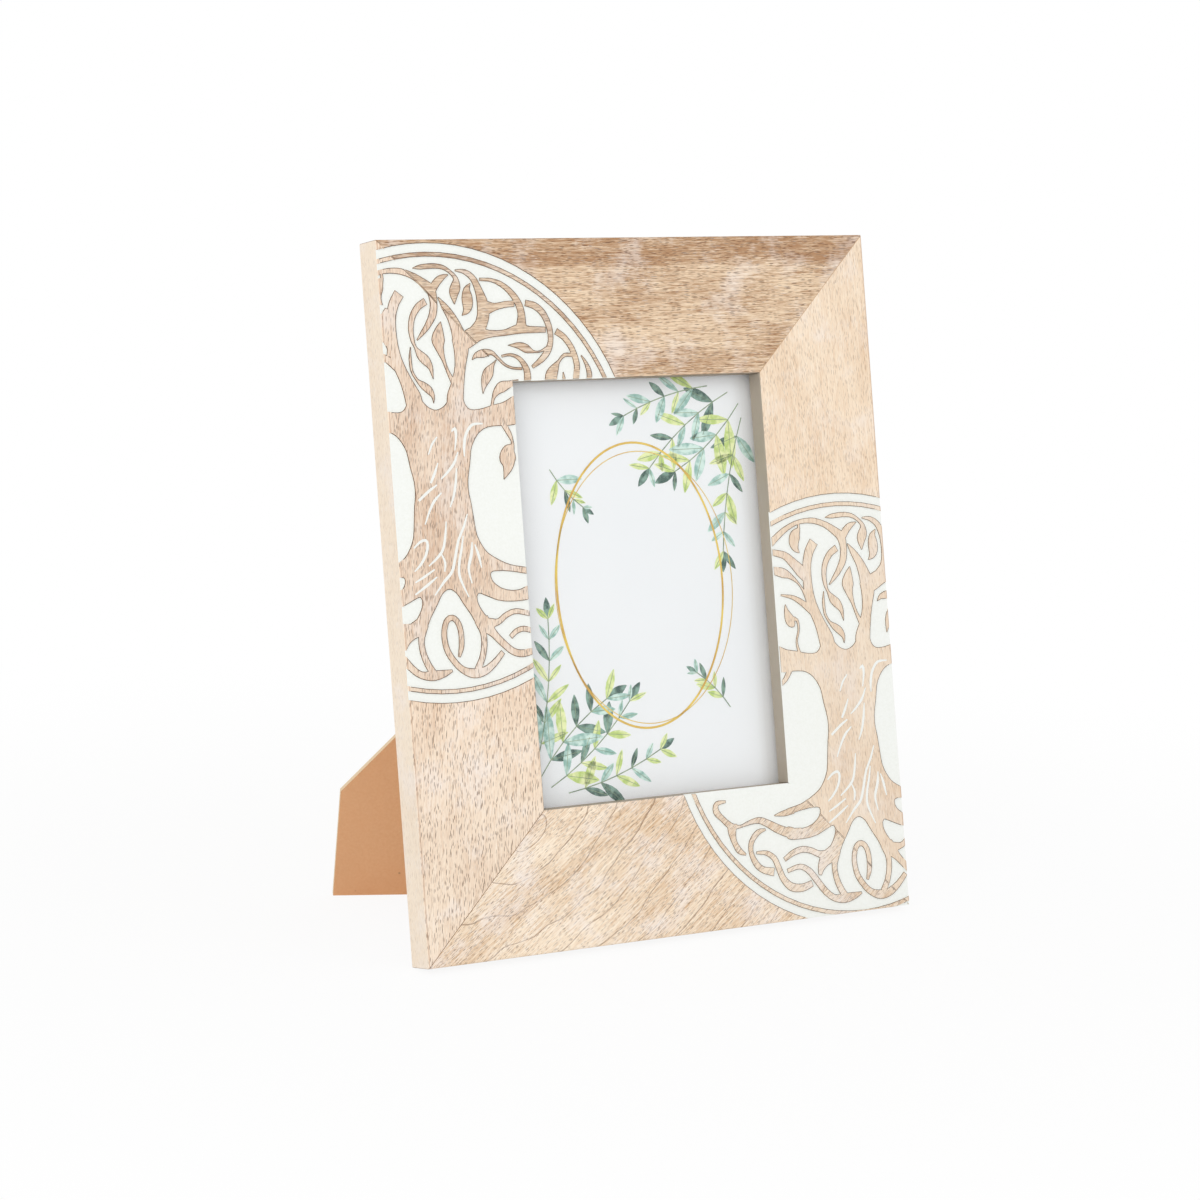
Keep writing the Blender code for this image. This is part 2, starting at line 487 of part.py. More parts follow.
def rail_mesh(length, lap):
    """A mitred rail along X, its outer edge at z=0 and its front at y=0."""
    rebate = RAIL_WIDTH - lap - REBATE_PLAY
    profile = [(0, 0), (0, RAIL_WIDTH), (LIP_DEPTH, RAIL_WIDTH), (LIP_DEPTH, rebate),
               (RAIL_DEPTH, rebate), (RAIL_DEPTH, 0)]
    bm = bmesh.new()
    corners = [bm.verts.new((-length / 2, y, z)) for y, z in profile]
    bm.faces.new(corners)
    bmesh.ops.bevel(bm, geom=[corners[0], corners[5]], offset=OUTER_ARRIS, segments=3, profile=0.5,
                    affect="VERTICES", material=-1)
    front = [vert for vert in bm.verts if vert.co.y < INNER_ARRIS / 2]
    inner = [vert for vert in front if vert.co.z > RAIL_WIDTH - INNER_ARRIS]
    bmesh.ops.bevel(bm, geom=inner, offset=INNER_ARRIS, segments=2, profile=0.5,
                    affect="VERTICES", material=-1)
    grown = bmesh.ops.extrude_face_region(bm, geom=list(bm.faces))
    moved = [part for part in grown["geom"] if isinstance(part, bmesh.types.BMVert)]
    bmesh.ops.translate(bm, vec=(length, 0, 0), verts=moved)
    for side in (-1, 1):
        cut_point = (side * (length / 2 - MITRE_GAP / math.sqrt(2)), 0, 0)
        cut = bmesh.ops.bisect_plane(
            bm, geom=list(bm.verts) + list(bm.edges) + list(bm.faces), dist=1e-7,
            plane_co=cut_point, plane_no=(side, 0, 1), clear_outer=True)
        rim = [part for part in cut["geom_cut"] if isinstance(part, bmesh.types.BMEdge)]
        bmesh.ops.holes_fill(bm, edges=rim)
    return bm


def nail_outline(grow):
    """A nail seen end on: two wings at right angles, across a mitre that runs along X."""
    half = NAIL_THICKNESS / 2 + grow
    reach = NAIL_LEG + grow
    wing = Vector((1, 1)).normalized()
    side = Vector((-wing.y, wing.x))
    upper = [wing * reach + side * half, wing * reach - side * half]
    fold_in = Vector((half * math.sqrt(2), 0))
    fold_out = Vector((-half * math.sqrt(2), 0))
    lower = [Vector((point.x, -point.y)) for point in reversed(upper)]
    return [fold_out, upper[0], upper[1], fold_in, lower[0], lower[1]]


def corner_places():
    """Place and turn of each mitre nail, with its x axis from the outer corner inwards."""
    places = []
    for side in (-1, 1):
        for end in (0, 1):
            turn = math.atan2(1 if end == 0 else -1, -side)
            for offset in NAIL_OFFSETS:
                x = side * (WIDTH / 2 - offset)
                z = offset if end == 0 else HEIGHT - offset
                places.append((x, z, turn))
    return places


def nail_mesh(grow):
    back = RAIL_DEPTH + (CUTTER_OVERSHOOT if grow else -NAIL_SINK)
    front = RAIL_DEPTH - NAIL_LENGTH - grow
    return prism_mesh([(point.x, point.y) for point in nail_outline(grow)], front, back)


def button_places():
    """Name, x, z and turn of each button. Unturned, it points up."""
    side_x = PRINT_WIDTH / 2 + BUTTON_FROM_REBATE
    board_low = RAIL_WIDTH - END_LAP
    low_z = board_low - BUTTON_FROM_REBATE
    high_z = HEIGHT - low_z
    lower = board_low + BUTTON_FROM_BOTTOM
    upper = board_low + PRINT_HEIGHT - BUTTON_FROM_TOP
    return [
        ("button_bottom", 0, low_z, 0),
        ("button_top", 0, high_z, math.pi),
        ("button_left_low", -side_x, lower, math.pi / 2),
        ("button_left_high", -side_x, upper, math.pi / 2),
        ("button_right_low", side_x, lower, -math.pi / 2),
        ("button_right_high", side_x, upper, -math.pi / 2)]


def button_mesh():
    """A flat tongue with round ends, its screw hole at the origin."""
    half = BUTTON_WIDTH / 2
    steps = 8
    outline = []
    for index in range(steps + 1):
        turn = math.pi * index / steps
        outline.append((half * math.cos(turn), BUTTON_REACH - half + half * math.sin(turn)))
    for index in range(steps + 1):
        turn = math.pi + math.pi * index / steps
        outline.append((half * math.cos(turn), half * math.sin(turn)))
    return prism_mesh(outline, BACK_FACE + SEAT_GAP, BACK_FACE + SEAT_GAP + BUTTON_THICKNESS)


def screw_mesh():
    """A round head over the button and a shank into the rail, with its axis along Y."""
    low = BACK_FACE + BUTTON_THICKNESS + 2 * SEAT_GAP
    high = low + SCREW_HEAD_HEIGHT
    profile = [
        (RAIL_DEPTH - SCREW_LENGTH, 0.4 * SCREW_SHANK_RADIUS),
        (RAIL_DEPTH - SCREW_LENGTH + SCREW_SHANK_RADIUS, SCREW_SHANK_RADIUS),
        (low, SCREW_SHANK_RADIUS),
        (low, SCREW_HEAD_RADIUS),
        (low + 0.4 * SCREW_HEAD_HEIGHT, SCREW_HEAD_RADIUS),
        (high, 0.7 * SCREW_HEAD_RADIUS)]
    return turned_mesh(profile, 16)


def leg_directions():
    """The way along the leg and the way out of its face, in the upright frame."""
    sine = math.sin(LEG_OPENING)
    cosine = math.cos(LEG_OPENING)
    root_half = math.sqrt(0.5)
    along = Vector((-cosine * root_half, sine, -cosine * root_half))
    out = Vector((sine * root_half, cosine, sine * root_half))
    return along, out


def stand_lift():
    """Height of the frame's local origin, with the rounded lower back edge on the ground."""
    return (RAIL_DEPTH - OUTER_ARRIS) * math.sin(LEAN) + OUTER_ARRIS * (1 - math.cos(LEAN))


def leg_length():
    """Length from the hinge axis to the tip, so that the tip's front edge meets the ground."""
    along, out = leg_directions()
    start = Vector((HINGE_X, HINGE_DEPTH, HINGE_HEIGHT)) + out * LEG_FRONT
    height = start.z * math.cos(LEAN) - start.y * math.sin(LEAN) + stand_lift()
    return height / (along.y * math.sin(LEAN) - along.z * math.cos(LEAN))


def leg_outline():
    """Leg seen along the hinge's out direction. The right foot edge stands on the ground."""
    length = leg_length()
    foot = (FOOT_EDGE * math.sin(FOOT_ANGLE), FOOT_EDGE * math.cos(FOOT_ANGLE) - length)
    side_foot = (-FOOT_EDGE * math.sin(SIDE_FOOT_ANGLE), FOOT_EDGE * math.cos(SIDE_FOOT_ANGLE) - length)
    shoulder = HEEL - HEEL_CHAMFER
    right = foot[0] + (shoulder - foot[1]) * math.tan(LEG_TAPER)
    left = side_foot[0] - (shoulder - side_foot[1]) * math.tan(LEG_TAPER)
    return [(0, -length), foot, (right, shoulder), (right - HEEL_CHAMFER, HEEL),
            (left + HEEL_CHAMFER, HEEL), (left, shoulder), side_foot]


def stand_location():
    """Place of the leaning frame, with the origin under the middle of the whole object."""
    along, out = leg_directions()
    across = Vector((-1, 0, 1)).normalized()
    side_edge = across * math.sin(SIDE_FOOT_ANGLE) - along * math.cos(SIDE_FOOT_ANGLE)
    hinge = Vector((HINGE_X, HINGE_DEPTH, HINGE_HEIGHT))
    tip = hinge + along * leg_length() + out * (LEG_FRONT + LEG_THICKNESS)
    corners = (tip, tip + side_edge * FOOT_EDGE)
    reach = max(corner.y * math.cos(LEAN) + corner.z * math.sin(LEAN) for corner in corners)
    return (0, -(reach + FRONT_REACH) / 2, stand_lift())


def leaf_mesh(height, side):
    """Plate of a hinge leaf. side is 1 for the leaf above the axis, -1 for the one on the leg."""
    notch = KNUCKLE_RADIUS + KNUCKLE_GAP
    half = HINGE_LENGTH / 2
    middle = MIDDLE_KNUCKLE / 2
    free = middle + KNUCKLE_GAP
    if side > 0:
        outline = [(-half, 0), (-free, 0), (-free, notch), (free, notch), (free, 0), (half, 0),
                   (half, height), (-half, height)]
        return prism_mesh(outline, -LEAF_FACE, -LEAF_FACE + LEAF_THICKNESS)
    outline = [(-middle, 0), (-middle, -notch), (-half, -notch), (-half, -height), (half, -height),
               (half, -notch), (middle, -notch), (middle, 0)]
    return prism_mesh(outline, LEAF_FACE - LEAF_THICKNESS, LEAF_FACE)


def knuckles_mesh(spans, radius):
    bm = bmesh.new()
    for low, high in spans:
        add_cylinder(bm, radius, low, high, 20, axis="X")
    return bm


def rivet_mesh(low, high):
    """A round head at the high end and a spread tail at the low end, with the axis along Y."""
    profile = [
        (low, RIVET_HEAD_RADIUS),
        (low + RIVET_HEAD, RIVET_HEAD_RADIUS),
        (low + RIVET_HEAD, RIVET_RADIUS),
        (high - RIVET_HEAD, RIVET_RADIUS),
        (high - RIVET_HEAD, RIVET_HEAD_RADIUS),
        (high - 0.4 * RIVET_HEAD, 0.9 * RIVET_HEAD_RADIUS),
        (high, 0.6 * RIVET_HEAD_RADIUS)]
    return turned_mesh(profile, 16)


def pin_mesh():
    half = HINGE_LENGTH / 2 + SEAT_GAP
    profile = [
        (-half - PIN_HEAD, PIN_HEAD_RADIUS),
        (-half, PIN_HEAD_RADIUS),
        (-half, PIN_RADIUS),
        (half, PIN_RADIUS),
        (half, PIN_HEAD_RADIUS),
        (half + PIN_HEAD, PIN_HEAD_RADIUS)]
    return turned_mesh(profile, 20)


def hole_row(offsets, height, low, high, radius):
    """Round cutters along Y, side by side at one height."""
    bm = bmesh.new()
    for offset in offsets:
        add_cylinder(bm, radius, low, high, 16, centre=(offset, 0, height))
    return bm


def build_rails(stand, wood):
    """Four mitred rails with the carving, the nail slots and the screw holes cut in."""
    quarter = math.pi / 2
    rails = {
        "rail_bottom": (WIDTH, END_LAP, (0, 0, 0), 0),
        "rail_top": (WIDTH, END_LAP, (0, 0, HEIGHT), 2 * quarter),
        "stile_left": (HEIGHT, SIDE_LAP, (-WIDTH / 2, 0, HEIGHT / 2), quarter),
        "stile_right": (HEIGHT, SIDE_LAP, (WIDTH / 2, 0, HEIGHT / 2), -quarter)}
    upper = carve_medallion("upper_medallion", UPPER_MEDALLION, stand, UPPER_LIMB_SIDE)
    lower = carve_medallion("lower_medallion", LOWER_MEDALLION, stand)
    carving = {"rail_bottom": lower, "rail_top": upper, "stile_left": upper, "stile_right": lower}
    slots = cutter_group("nail_slots")
    for index, (x, z, turn) in enumerate(corner_places()):
        slot = mesh_object("nail_slot_%d" % (index + 1), nail_mesh(NAIL_CLEARANCE), stand, None, (x, 0, z),
                           (0, -turn, 0))
        move_to_group(slot, slots)
    bores = bmesh.new()
    for _, x, z, _ in button_places():
        add_cylinder(bores, SCREW_SHANK_RADIUS + SEAT_GAP, RAIL_DEPTH - SCREW_LENGTH - SEAT_GAP,
                     RAIL_DEPTH + CUTTER_OVERSHOOT, 12, centre=(x, 0, z))
    bores = mesh_object("screw_bores", bores, stand)
    for name, (length, lap, place, turn) in rails.items():
        rail = mesh_object(name, rail_mesh(length, lap), stand, wood, place, (0, turn, 0))
        boolean(rail, carving[name])
        boolean(rail, slots)
        boolean(rail, bores)


def build_filling(stand, materials):
    """Glass, printed card and backing board, one behind the other in the rebate."""
    low = RAIL_WIDTH - END_LAP - REBATE_PLAY + SEAT_GAP
    stack = [
        ("glass_pane", GLASS_FRONT, GLASS_THICKNESS, materials["glass"]),
        ("print_card", CARD_FRONT, CARD_THICKNESS, materials["card"]),
        ("backing_board", BOARD_FRONT, BOARD_THICKNESS, materials["board"])]
    made = {}
    for name, front, thickness, material in stack:
        sheet = box_mesh(
            (-PRINT_WIDTH / 2, front, low), (PRINT_WIDTH / 2, front + thickness, low + PRINT_HEIGHT))
        made[name] = mesh_object(name, sheet, stand, material)
    return made


def build_nails(stand, steel):
    for index, (x, z, turn) in enumerate(corner_places()):
        mesh_object("corner_nail_%d" % (index + 1), nail_mesh(0), stand, steel, (x, 0, z), (0, -turn, 0))


def build_buttons(stand, materials):
    top = BACK_FACE + BUTTON_THICKNESS + 2 * SEAT_GAP + SCREW_HEAD_HEIGHT
    for index, (name, x, z, turn) in enumerate(button_places()):
        place = (x, 0, z)
        button = mesh_object(name, button_mesh(), stand, materials["zinc"], place, (0, turn, 0))
        hole = hole_row([0], 0, BACK_FACE - CUTTER_OVERSHOOT, top, SCREW_SHANK_RADIUS + BUTTON_PLAY)
        boolean(button, mesh_object(name + "_hole", hole, stand, None, place))
        screw = mesh_object(name + "_screw", screw_mesh(), stand, materials["brass"], place)
        slot = box_mesh((-2 * SCREW_HEAD_RADIUS, top - SLOT_DEPTH, -SLOT_WIDTH / 2),
                        (2 * SCREW_HEAD_RADIUS, top + CUTTER_OVERSHOOT, SLOT_WIDTH / 2))
        slot_turn = (0, math.radians(SLOT_TURN * index), 0)
        boolean(screw, mesh_object(name + "_slot", slot, stand, None, place, slot_turn))


def build_hinge(stand, board, materials):
    """Two leaves on a pin at 45 degrees, riveted to the board and to the leg."""
    place = (HINGE_X, HINGE_DEPTH, HINGE_HEIGHT)
    seat = empty("hinge_seat", stand, place, (0, math.pi / 4, 0))
    swing = empty("leg_hinge", seat, rotation=(LEG_OPENING, 0, 0))
    half = HINGE_LENGTH / 2
    middle = MIDDLE_KNUCKLE / 2
    bore = PIN_RADIUS + PIN_CLEARANCE
    outer = [(-half, -middle - KNUCKLE_GAP), (middle + KNUCKLE_GAP, half)]
    board_row = (LEAF_HEIGHT + KNUCKLE_RADIUS) / 2
    leg_row = -(LEG_LEAF_HEIGHT + KNUCKLE_RADIUS) / 2
    through = 4 * LEG_THICKNESS
    hole_radius = RIVET_RADIUS + RIVET_CLEARANCE
    leaves = [
        ("hinge_board_leaf", seat, leaf_mesh(LEAF_HEIGHT, 1), outer, board_row),
        ("hinge_leg_leaf", swing, leaf_mesh(LEG_LEAF_HEIGHT, -1), [(-middle, middle)], leg_row)]
    for name, carrier, plate, spans, row in leaves:
        leaf = mesh_object(name, plate, carrier, materials["steel"])
        barrel = mesh_object(name + "_barrel", knuckles_mesh(spans, KNUCKLE_RADIUS), carrier)
        boolean(leaf, barrel, "UNION")
        boolean(leaf, mesh_object(name + "_bore", knuckles_mesh([(-2 * half, 2 * half)], bore), carrier))
        holes = hole_row(RIVET_ROW, row, -through, through, hole_radius)
        boolean(leaf, mesh_object(name + "_holes", holes, carrier))
    mesh_object("hinge_pin", pin_mesh(), seat, materials["steel"], rotation=(0, 0, -math.pi / 2))

    board_inner = BOARD_FRONT - HINGE_DEPTH
    board_holes = hole_row(RIVET_ROW, board_row, -through, through, hole_radius)
    boolean(board, mesh_object("board_holes", board_holes, seat))
    sinks = hole_row(RIVET_ROW, board_row, board_inner - CUTTER_OVERSHOOT,
                     board_inner + 2 * RIVET_SEAT + RIVET_HEAD, RIVET_HEAD_RADIUS + RIVET_CLEARANCE)
    boolean(board, mesh_object("board_sinks", sinks, seat))
    leg = mesh_object("easel_leg", prism_mesh(leg_outline(), LEG_FRONT, LEG_FRONT + LEG_THICKNESS), swing,
                      materials["board"])
    leg_holes = hole_row(RIVET_ROW, leg_row, -through, through, hole_radius)
    boolean(leg, mesh_object("leg_holes", leg_holes, swing))

    board_head = LEAF_THICKNESS - LEAF_FACE + RIVET_SEAT + RIVET_HEAD
    leg_low = LEAF_FACE - LEAF_THICKNESS - RIVET_SEAT - RIVET_HEAD
    leg_head = LEG_FRONT + LEG_THICKNESS + RIVET_SEAT + RIVET_HEAD
    rivets = [
        ("board_rivet", seat, board_row, board_inner + RIVET_SEAT, board_head),
        ("leg_rivet", swing, leg_row, leg_low, leg_head)]
    for name, carrier, row, low, high in rivets:
        for index, offset in enumerate(RIVET_ROW):
            mesh_object("%s_%d" % (name, index + 1), rivet_mesh(low, high), carrier, materials["brass"],
                        (offset, 0, row))


def main():
    clear_scene()
    materials = {
        "wood": make_material("whitewashed_wood", (0.66, 0.45, 0.29), 0.6),
        "glass": make_material("clear_glass", (0.85, 0.9, 0.92), 0.05),
        "card": make_material("printed_card", (0.86, 0.9, 0.94), 0.5),
        "board": make_material("brown_fibreboard", (0.45, 0.24, 0.11), 0.7),
        "zinc": make_material("zinc_plated_steel", (0.62, 0.62, 0.6), 0.35, 1.0),
        "steel": make_material("brass_plated_steel", (0.6, 0.47, 0.24), 0.35, 1.0),
        "brass": make_material("brass", (0.7, 0.52, 0.22), 0.3, 1.0)}
    stand = empty("stand", None, stand_location(), (-LEAN, 0, 0))
    build_rails(stand, materials["wood"])
    filling = build_filling(stand, materials)
    build_nails(stand, materials["zinc"])
    build_buttons(stand, materials)
    build_hinge(stand, filling["backing_board"], materials)


main()
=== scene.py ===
"""Looks of the carved picture frame: materials, scorched lines, printed card, stage, lights and camera."""

import math
import random

import bmesh
import bpy
from mathutils import Matrix, Vector


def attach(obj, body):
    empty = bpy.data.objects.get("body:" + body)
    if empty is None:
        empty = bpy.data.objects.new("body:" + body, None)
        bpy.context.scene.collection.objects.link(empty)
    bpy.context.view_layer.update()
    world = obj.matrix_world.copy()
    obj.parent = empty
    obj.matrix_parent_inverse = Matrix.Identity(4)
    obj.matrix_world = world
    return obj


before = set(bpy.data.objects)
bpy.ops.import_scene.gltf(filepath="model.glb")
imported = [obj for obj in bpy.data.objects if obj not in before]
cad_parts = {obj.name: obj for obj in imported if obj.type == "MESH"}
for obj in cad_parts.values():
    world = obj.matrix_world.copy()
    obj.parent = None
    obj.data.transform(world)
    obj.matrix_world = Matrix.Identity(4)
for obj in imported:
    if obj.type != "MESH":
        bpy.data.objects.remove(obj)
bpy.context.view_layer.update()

MM = 0.001

# The leaning frame. Across (u), into the depth (n) and up its face (v), from the middle of its lower edge
LEAN = math.radians(11.3)
STAND = Vector((0, -65.304, 2.735)) * MM
TO_FRAME = Matrix.Rotation(LEAN, 4, "X") @ Matrix.Translation(-STAND)
FROM_FRAME = TO_FRAME.inverted()
FRONT = FROM_FRAME.to_3x3() @ Vector((0, -1, 0))

# Sizes in the leaning frame, in millimetres
HALF_WIDTH = 118
HEIGHT = 290
HALF_OPENING = 60
OPENING_LOW = 58
OPENING_HIGH = 232
CARVING_DEPTH = 0.6
SLIT_DEPTH = 0.45
PAINT_RADIUS = 92
MEDALLIONS = ((-96.4, 196.5), (94.3, 87.2))
MITRE_WIDTH = 0.34
CARD_FACE = 10.5
CARD_LOW = 58
LEG_OPEN = math.radians(31)

# Millimetres between an edge and the limit of a finish, so that rounding can't give a face the wrong one
SLACK = 0.3

# A surface counts as square to a direction when the cosine between them is above this
SQUARE_ON = 0.8

# A face whose normal points into the depth by less than this lies flat to the front
FLAT = -0.99

# Sockets of a node that mixes two colours
AMOUNT, UNDER, OVER = 0, 6, 7

# Each mark of the grain in millimetres: its length along the grain and its width across it
UPRIGHT_GRAIN = {
    "streak": (26, 0.8), "tone": (52, 20), "hair": (5, 0.42), "wash": (20, 20), "pore": (3.8, 0.46)}
LEVEL_GRAIN = {
    "streak": (26, 0.8), "tone": (70, 16), "hair": (7, 0.42), "wash": (20, 20), "pore": (4.6, 0.5)}

# The four boards. The slope of the grain is in degrees, and the offset picks another part of the pattern
OVALS = {"centre": (-66, 0, 50), "radii": (2.1, 1, 1), "wander": 12.0, "spacing": 10.5, "amount": 0.75}
BOARDS = {
    "rail_top": {
        "name": "mango_top_rail", "upright": False, "slope": 0, "light": "#F0D7B8", "dark": "#AE845F",
        "washed": 0.55, "coarseness": 0.5, "open_pores": 0.7, "pore_size": 0.8, "offset": (40, 3, 11),
        "rings": None, "dark_edge": 0.4, "pale_foot": 0.0},
    "rail_bottom": {
        "name": "mango_bottom_rail", "upright": False, "slope": 34, "light": "#FCECD6", "dark": "#D4AE85",
        "washed": 0.85, "coarseness": 0.36, "open_pores": 0.7, "pore_size": 0.58, "offset": (210, 7, 53),
        "rings": OVALS, "dark_edge": 0.0, "pale_foot": 0.0},
    "stile_left": {
        "name": "mango_left_stile", "upright": True, "slope": -6, "light": "#F7E1CA", "dark": "#CFA582",
        "washed": 0.7, "coarseness": 0.38, "open_pores": 0.85, "pore_size": 0.88, "offset": (95, 12, 320),
        "rings": None, "dark_edge": 0.0, "pale_foot": 0.4},
    "stile_right": {
        "name": "mango_right_stile", "upright": True, "slope": 2, "light": "#F9E6CE", "dark": "#DFBD9A",
        "washed": 0.5, "coarseness": 0.28, "open_pores": 0.4, "pore_size": 0.8, "offset": (33, 19, 610),
        "rings": None, "dark_edge": 0.0, "pale_foot": 0.0}}


def linear(hex_colour):
    """Linear RGBA from an sRGB hex colour."""
    parts = [int(hex_colour[index:index + 2], 16) / 255 for index in (1, 3, 5)]
    parts = [part / 12.92 if part <= 0.04045 else ((part + 0.055) / 1.055) ** 2.4 for part in parts]
    return (*parts, 1.0)


# Inputs are named or numbered, or come in the node's own order: a MapRange, for one, takes a value, the low
# and high of its range, and what it gives at each
def add(tree, kind, inputs=(), **settings):
    """Add a node with its settings. An input is a value, a socket, or a node, meaning its live output."""
    node = tree.nodes.new("ShaderNode" + kind)
    for name, value in settings.items():
        setattr(node, name, value)
    pairs = inputs.items() if isinstance(inputs, dict) else enumerate(inputs)
    for key, value in pairs:
        if isinstance(value, bpy.types.Node):
            value = next(socket for socket in value.outputs if socket.enabled)
        if isinstance(value, bpy.types.NodeSocket):
            tree.links.new(value, node.inputs[key])
        else:
            node.inputs[key].default_value = value
    return node


def all_of(tree, factors):
    """The product of several conditions or amounts."""
    product = factors[0]
    for factor in factors[1:]:
        product = add(tree, "Math", (product, factor), operation="MULTIPLY")
    return product


def new_material(name):
    material = bpy.data.materials.new(name)
    material.use_nodes = True
    material.node_tree.nodes.clear()
    return material, material.node_tree


def finish_material(tree, shader):
    add(tree, "OutputMaterial", {"Surface": shader})


def frame_point(tree):
    """Object coordinates as millimetres across, into and up the leaning frame."""
    coordinates = add(tree, "TexCoord").outputs["Object"]
    place = -(TO_FRAME.to_3x3() @ STAND) / MM
    return add(tree, "Mapping", {
        "Vector": coordinates, "Location": place, "Rotation": (LEAN, 0, 0),
        "Scale": (1 / MM, 1 / MM, 1 / MM)})


def rail_surface(tree, point):
    """Where a point of a rail lies, how far from a medallion's middle, and which way its surface looks."""
    split = add(tree, "SeparateXYZ", (point,))
    flat = add(tree, "VectorMath", (point, (1, 0, 1)), operation="MULTIPLY")
    reaches = [add(tree, "VectorMath", (flat, (across, 0, up)), operation="DISTANCE")
               for across, up in MEDALLIONS]
    normal = add(tree, "TexCoord").outputs["Normal"]
    facing = add(tree, "VectorMath", (normal, FRONT), operation="DOT_PRODUCT")
    sideways = add(tree, "SeparateXYZ", (normal,)).outputs["X"]
    sideways = add(tree, "Math", (sideways,), operation="ABSOLUTE")
    return {
        "across": add(tree, "Math", (split.outputs["X"],), operation="ABSOLUTE"),
        "depth": split.outputs["Y"],
        "up": split.outputs["Z"],
        "reach": add(tree, "Math", reaches, operation="MINIMUM"),
        "facing": facing,
        "faces_front": add(tree, "Math", (facing, SQUARE_ON), operation="GREATER_THAN"),
        "faces_side": add(tree, "Math", (sideways, SQUARE_ON), operation="GREATER_THAN")}


def along_grain(tree, shifted, board, mark, size=1.0):
    """A place counted in marks of one kind, which lie along the grain of the board."""
    length, width = (UPRIGHT_GRAIN if board["upright"] else LEVEL_GRAIN)[mark]
    cell = Vector((width, width, length) if board["upright"] else (length, width, width)) * size
    turn = (0, -math.radians(board["slope"]), 0)
    return add(tree, "Mapping", {"Vector": shifted, "Rotation": turn, "Scale": cell}, vector_type="TEXTURE")


def mango_grain(tree, board, shifted, surface):
    """How dark the wood is, from 0 to 1, with the soft streaks and fine hairs that make it so."""
    # The noise lies mostly between 0.3 and 0.7, so each pattern's share starts and is full within that
    streaks = add(tree, "TexNoise", {
        "Vector": along_grain(tree, shifted, board, "streak"), "Scale": 1.0, "Detail": 4.0,
        "Roughness": 0.65, "Distortion": 0.4})
    tone = add(tree, "TexNoise", {
        "Vector": along_grain(tree, shifted, board, "tone"), "Scale": 1.0, "Detail": 3.0,
        "Distortion": 0.6})
    hairs = add(tree, "TexNoise", {
        "Vector": along_grain(tree, shifted, board, "hair"), "Scale": 1.0, "Detail": 3.0,
        "Roughness": 0.7, "Distortion": 0.6})
    streak_part = add(tree, "MapRange", (streaks, 0.4, 0.66, 0.0, 0.8 * board["coarseness"]))
    tone_part = add(tree, "MapRange", (tone, 0.36, 0.68, 0.0, 0.42))
    hair_part = add(tree, "MapRange", (hairs, 0.34, 0.68, -0.9, 1.3))
    grain = add(tree, "Math", (streak_part, tone_part), operation="ADD")
    grain = add(tree, "Math", (hair_part, board["coarseness"], grain), operation="MULTIPLY_ADD")
    # One rail is darker in a strip along its upper edge
    strip_starts = HEIGHT - 12.5
    strip_full = HEIGHT - 10.5
    strip = add(tree, "MapRange", (surface["up"], strip_starts, strip_full, 0.0, board["dark_edge"]))
    grain = add(tree, "Math", (grain, strip), operation="ADD", use_clamp=True)
    return grain, streaks, hairs


def growth_rings(tree, board, point, colour):
    """Growth rings that the saw met at a slant: long ovals of thin darker lines."""
    rings = board["rings"]
    place = add(tree, "Mapping", {
        "Vector": point, "Location": rings["centre"], "Scale": rings["radii"],
        "Rotation": (0, -math.radians(board["slope"]), 0)}, vector_type="TEXTURE")
    radius = add(tree, "VectorMath", (place,), operation="LENGTH")
    wander = add(tree, "TexNoise", {"Vector": point, "Scale": 0.03, "Detail": 2.0})
    radius = add(tree, "Math", (wander, rings["wander"], radius), operation="MULTIPLY_ADD")
    count = add(tree, "Math", (radius, rings["spacing"]), operation="DIVIDE")
    phase = add(tree, "Math", (count,), operation="FRACT")
    line = add(tree, "MapRange", (phase, 0.95, 0.99, 0.0, rings["amount"]))
    return add(tree, "Mix", {AMOUNT: line, UNDER: colour, OVER: linear("#7F583A")}, data_type="RGBA")


def limewash(tree, board, shifted, surface, hairs, colour):
    """Limewash left in patches after rubbing back. The foot of one stile kept more of it, and the sides are
    paled with the same wash as painted light.
    """
    foot_starts = 175.0
    foot_full = 50.0
    # Painted light: how much paler the side faces are made, so that they look lit
    painted_side_light_share = 0.66
    lower_end = add(tree, "MapRange", (surface["up"], foot_starts, foot_full, 0.0, board["pale_foot"]))
    painted_side_light = all_of(tree, (surface["faces_side"], painted_side_light_share))
    pale_foot_and_painted_side_light = add(tree, "Math", (lower_end, painted_side_light), operation="MAXIMUM")
    colour = add(tree, "Mix", {AMOUNT: pale_foot_and_painted_side_light, UNDER: colour, OVER: linear("#FBEFDC")}, data_type="RGBA")
    clouds = add(tree, "TexNoise", {
        "Vector": along_grain(tree, shifted, board, "wash"), "Scale": 1.0, "Detail": 5.0, "Roughness": 0.6})
    clouds = add(tree, "Math", (hairs, -0.35, clouds), operation="MULTIPLY_ADD")
    patches = add(tree, "MapRange", (clouds, 0.33, 0.55, 0.0, board["washed"]))
    return add(tree, "Mix", {AMOUNT: patches, UNDER: colour, OVER: linear("#F7EDE6")}, data_type="RGBA")


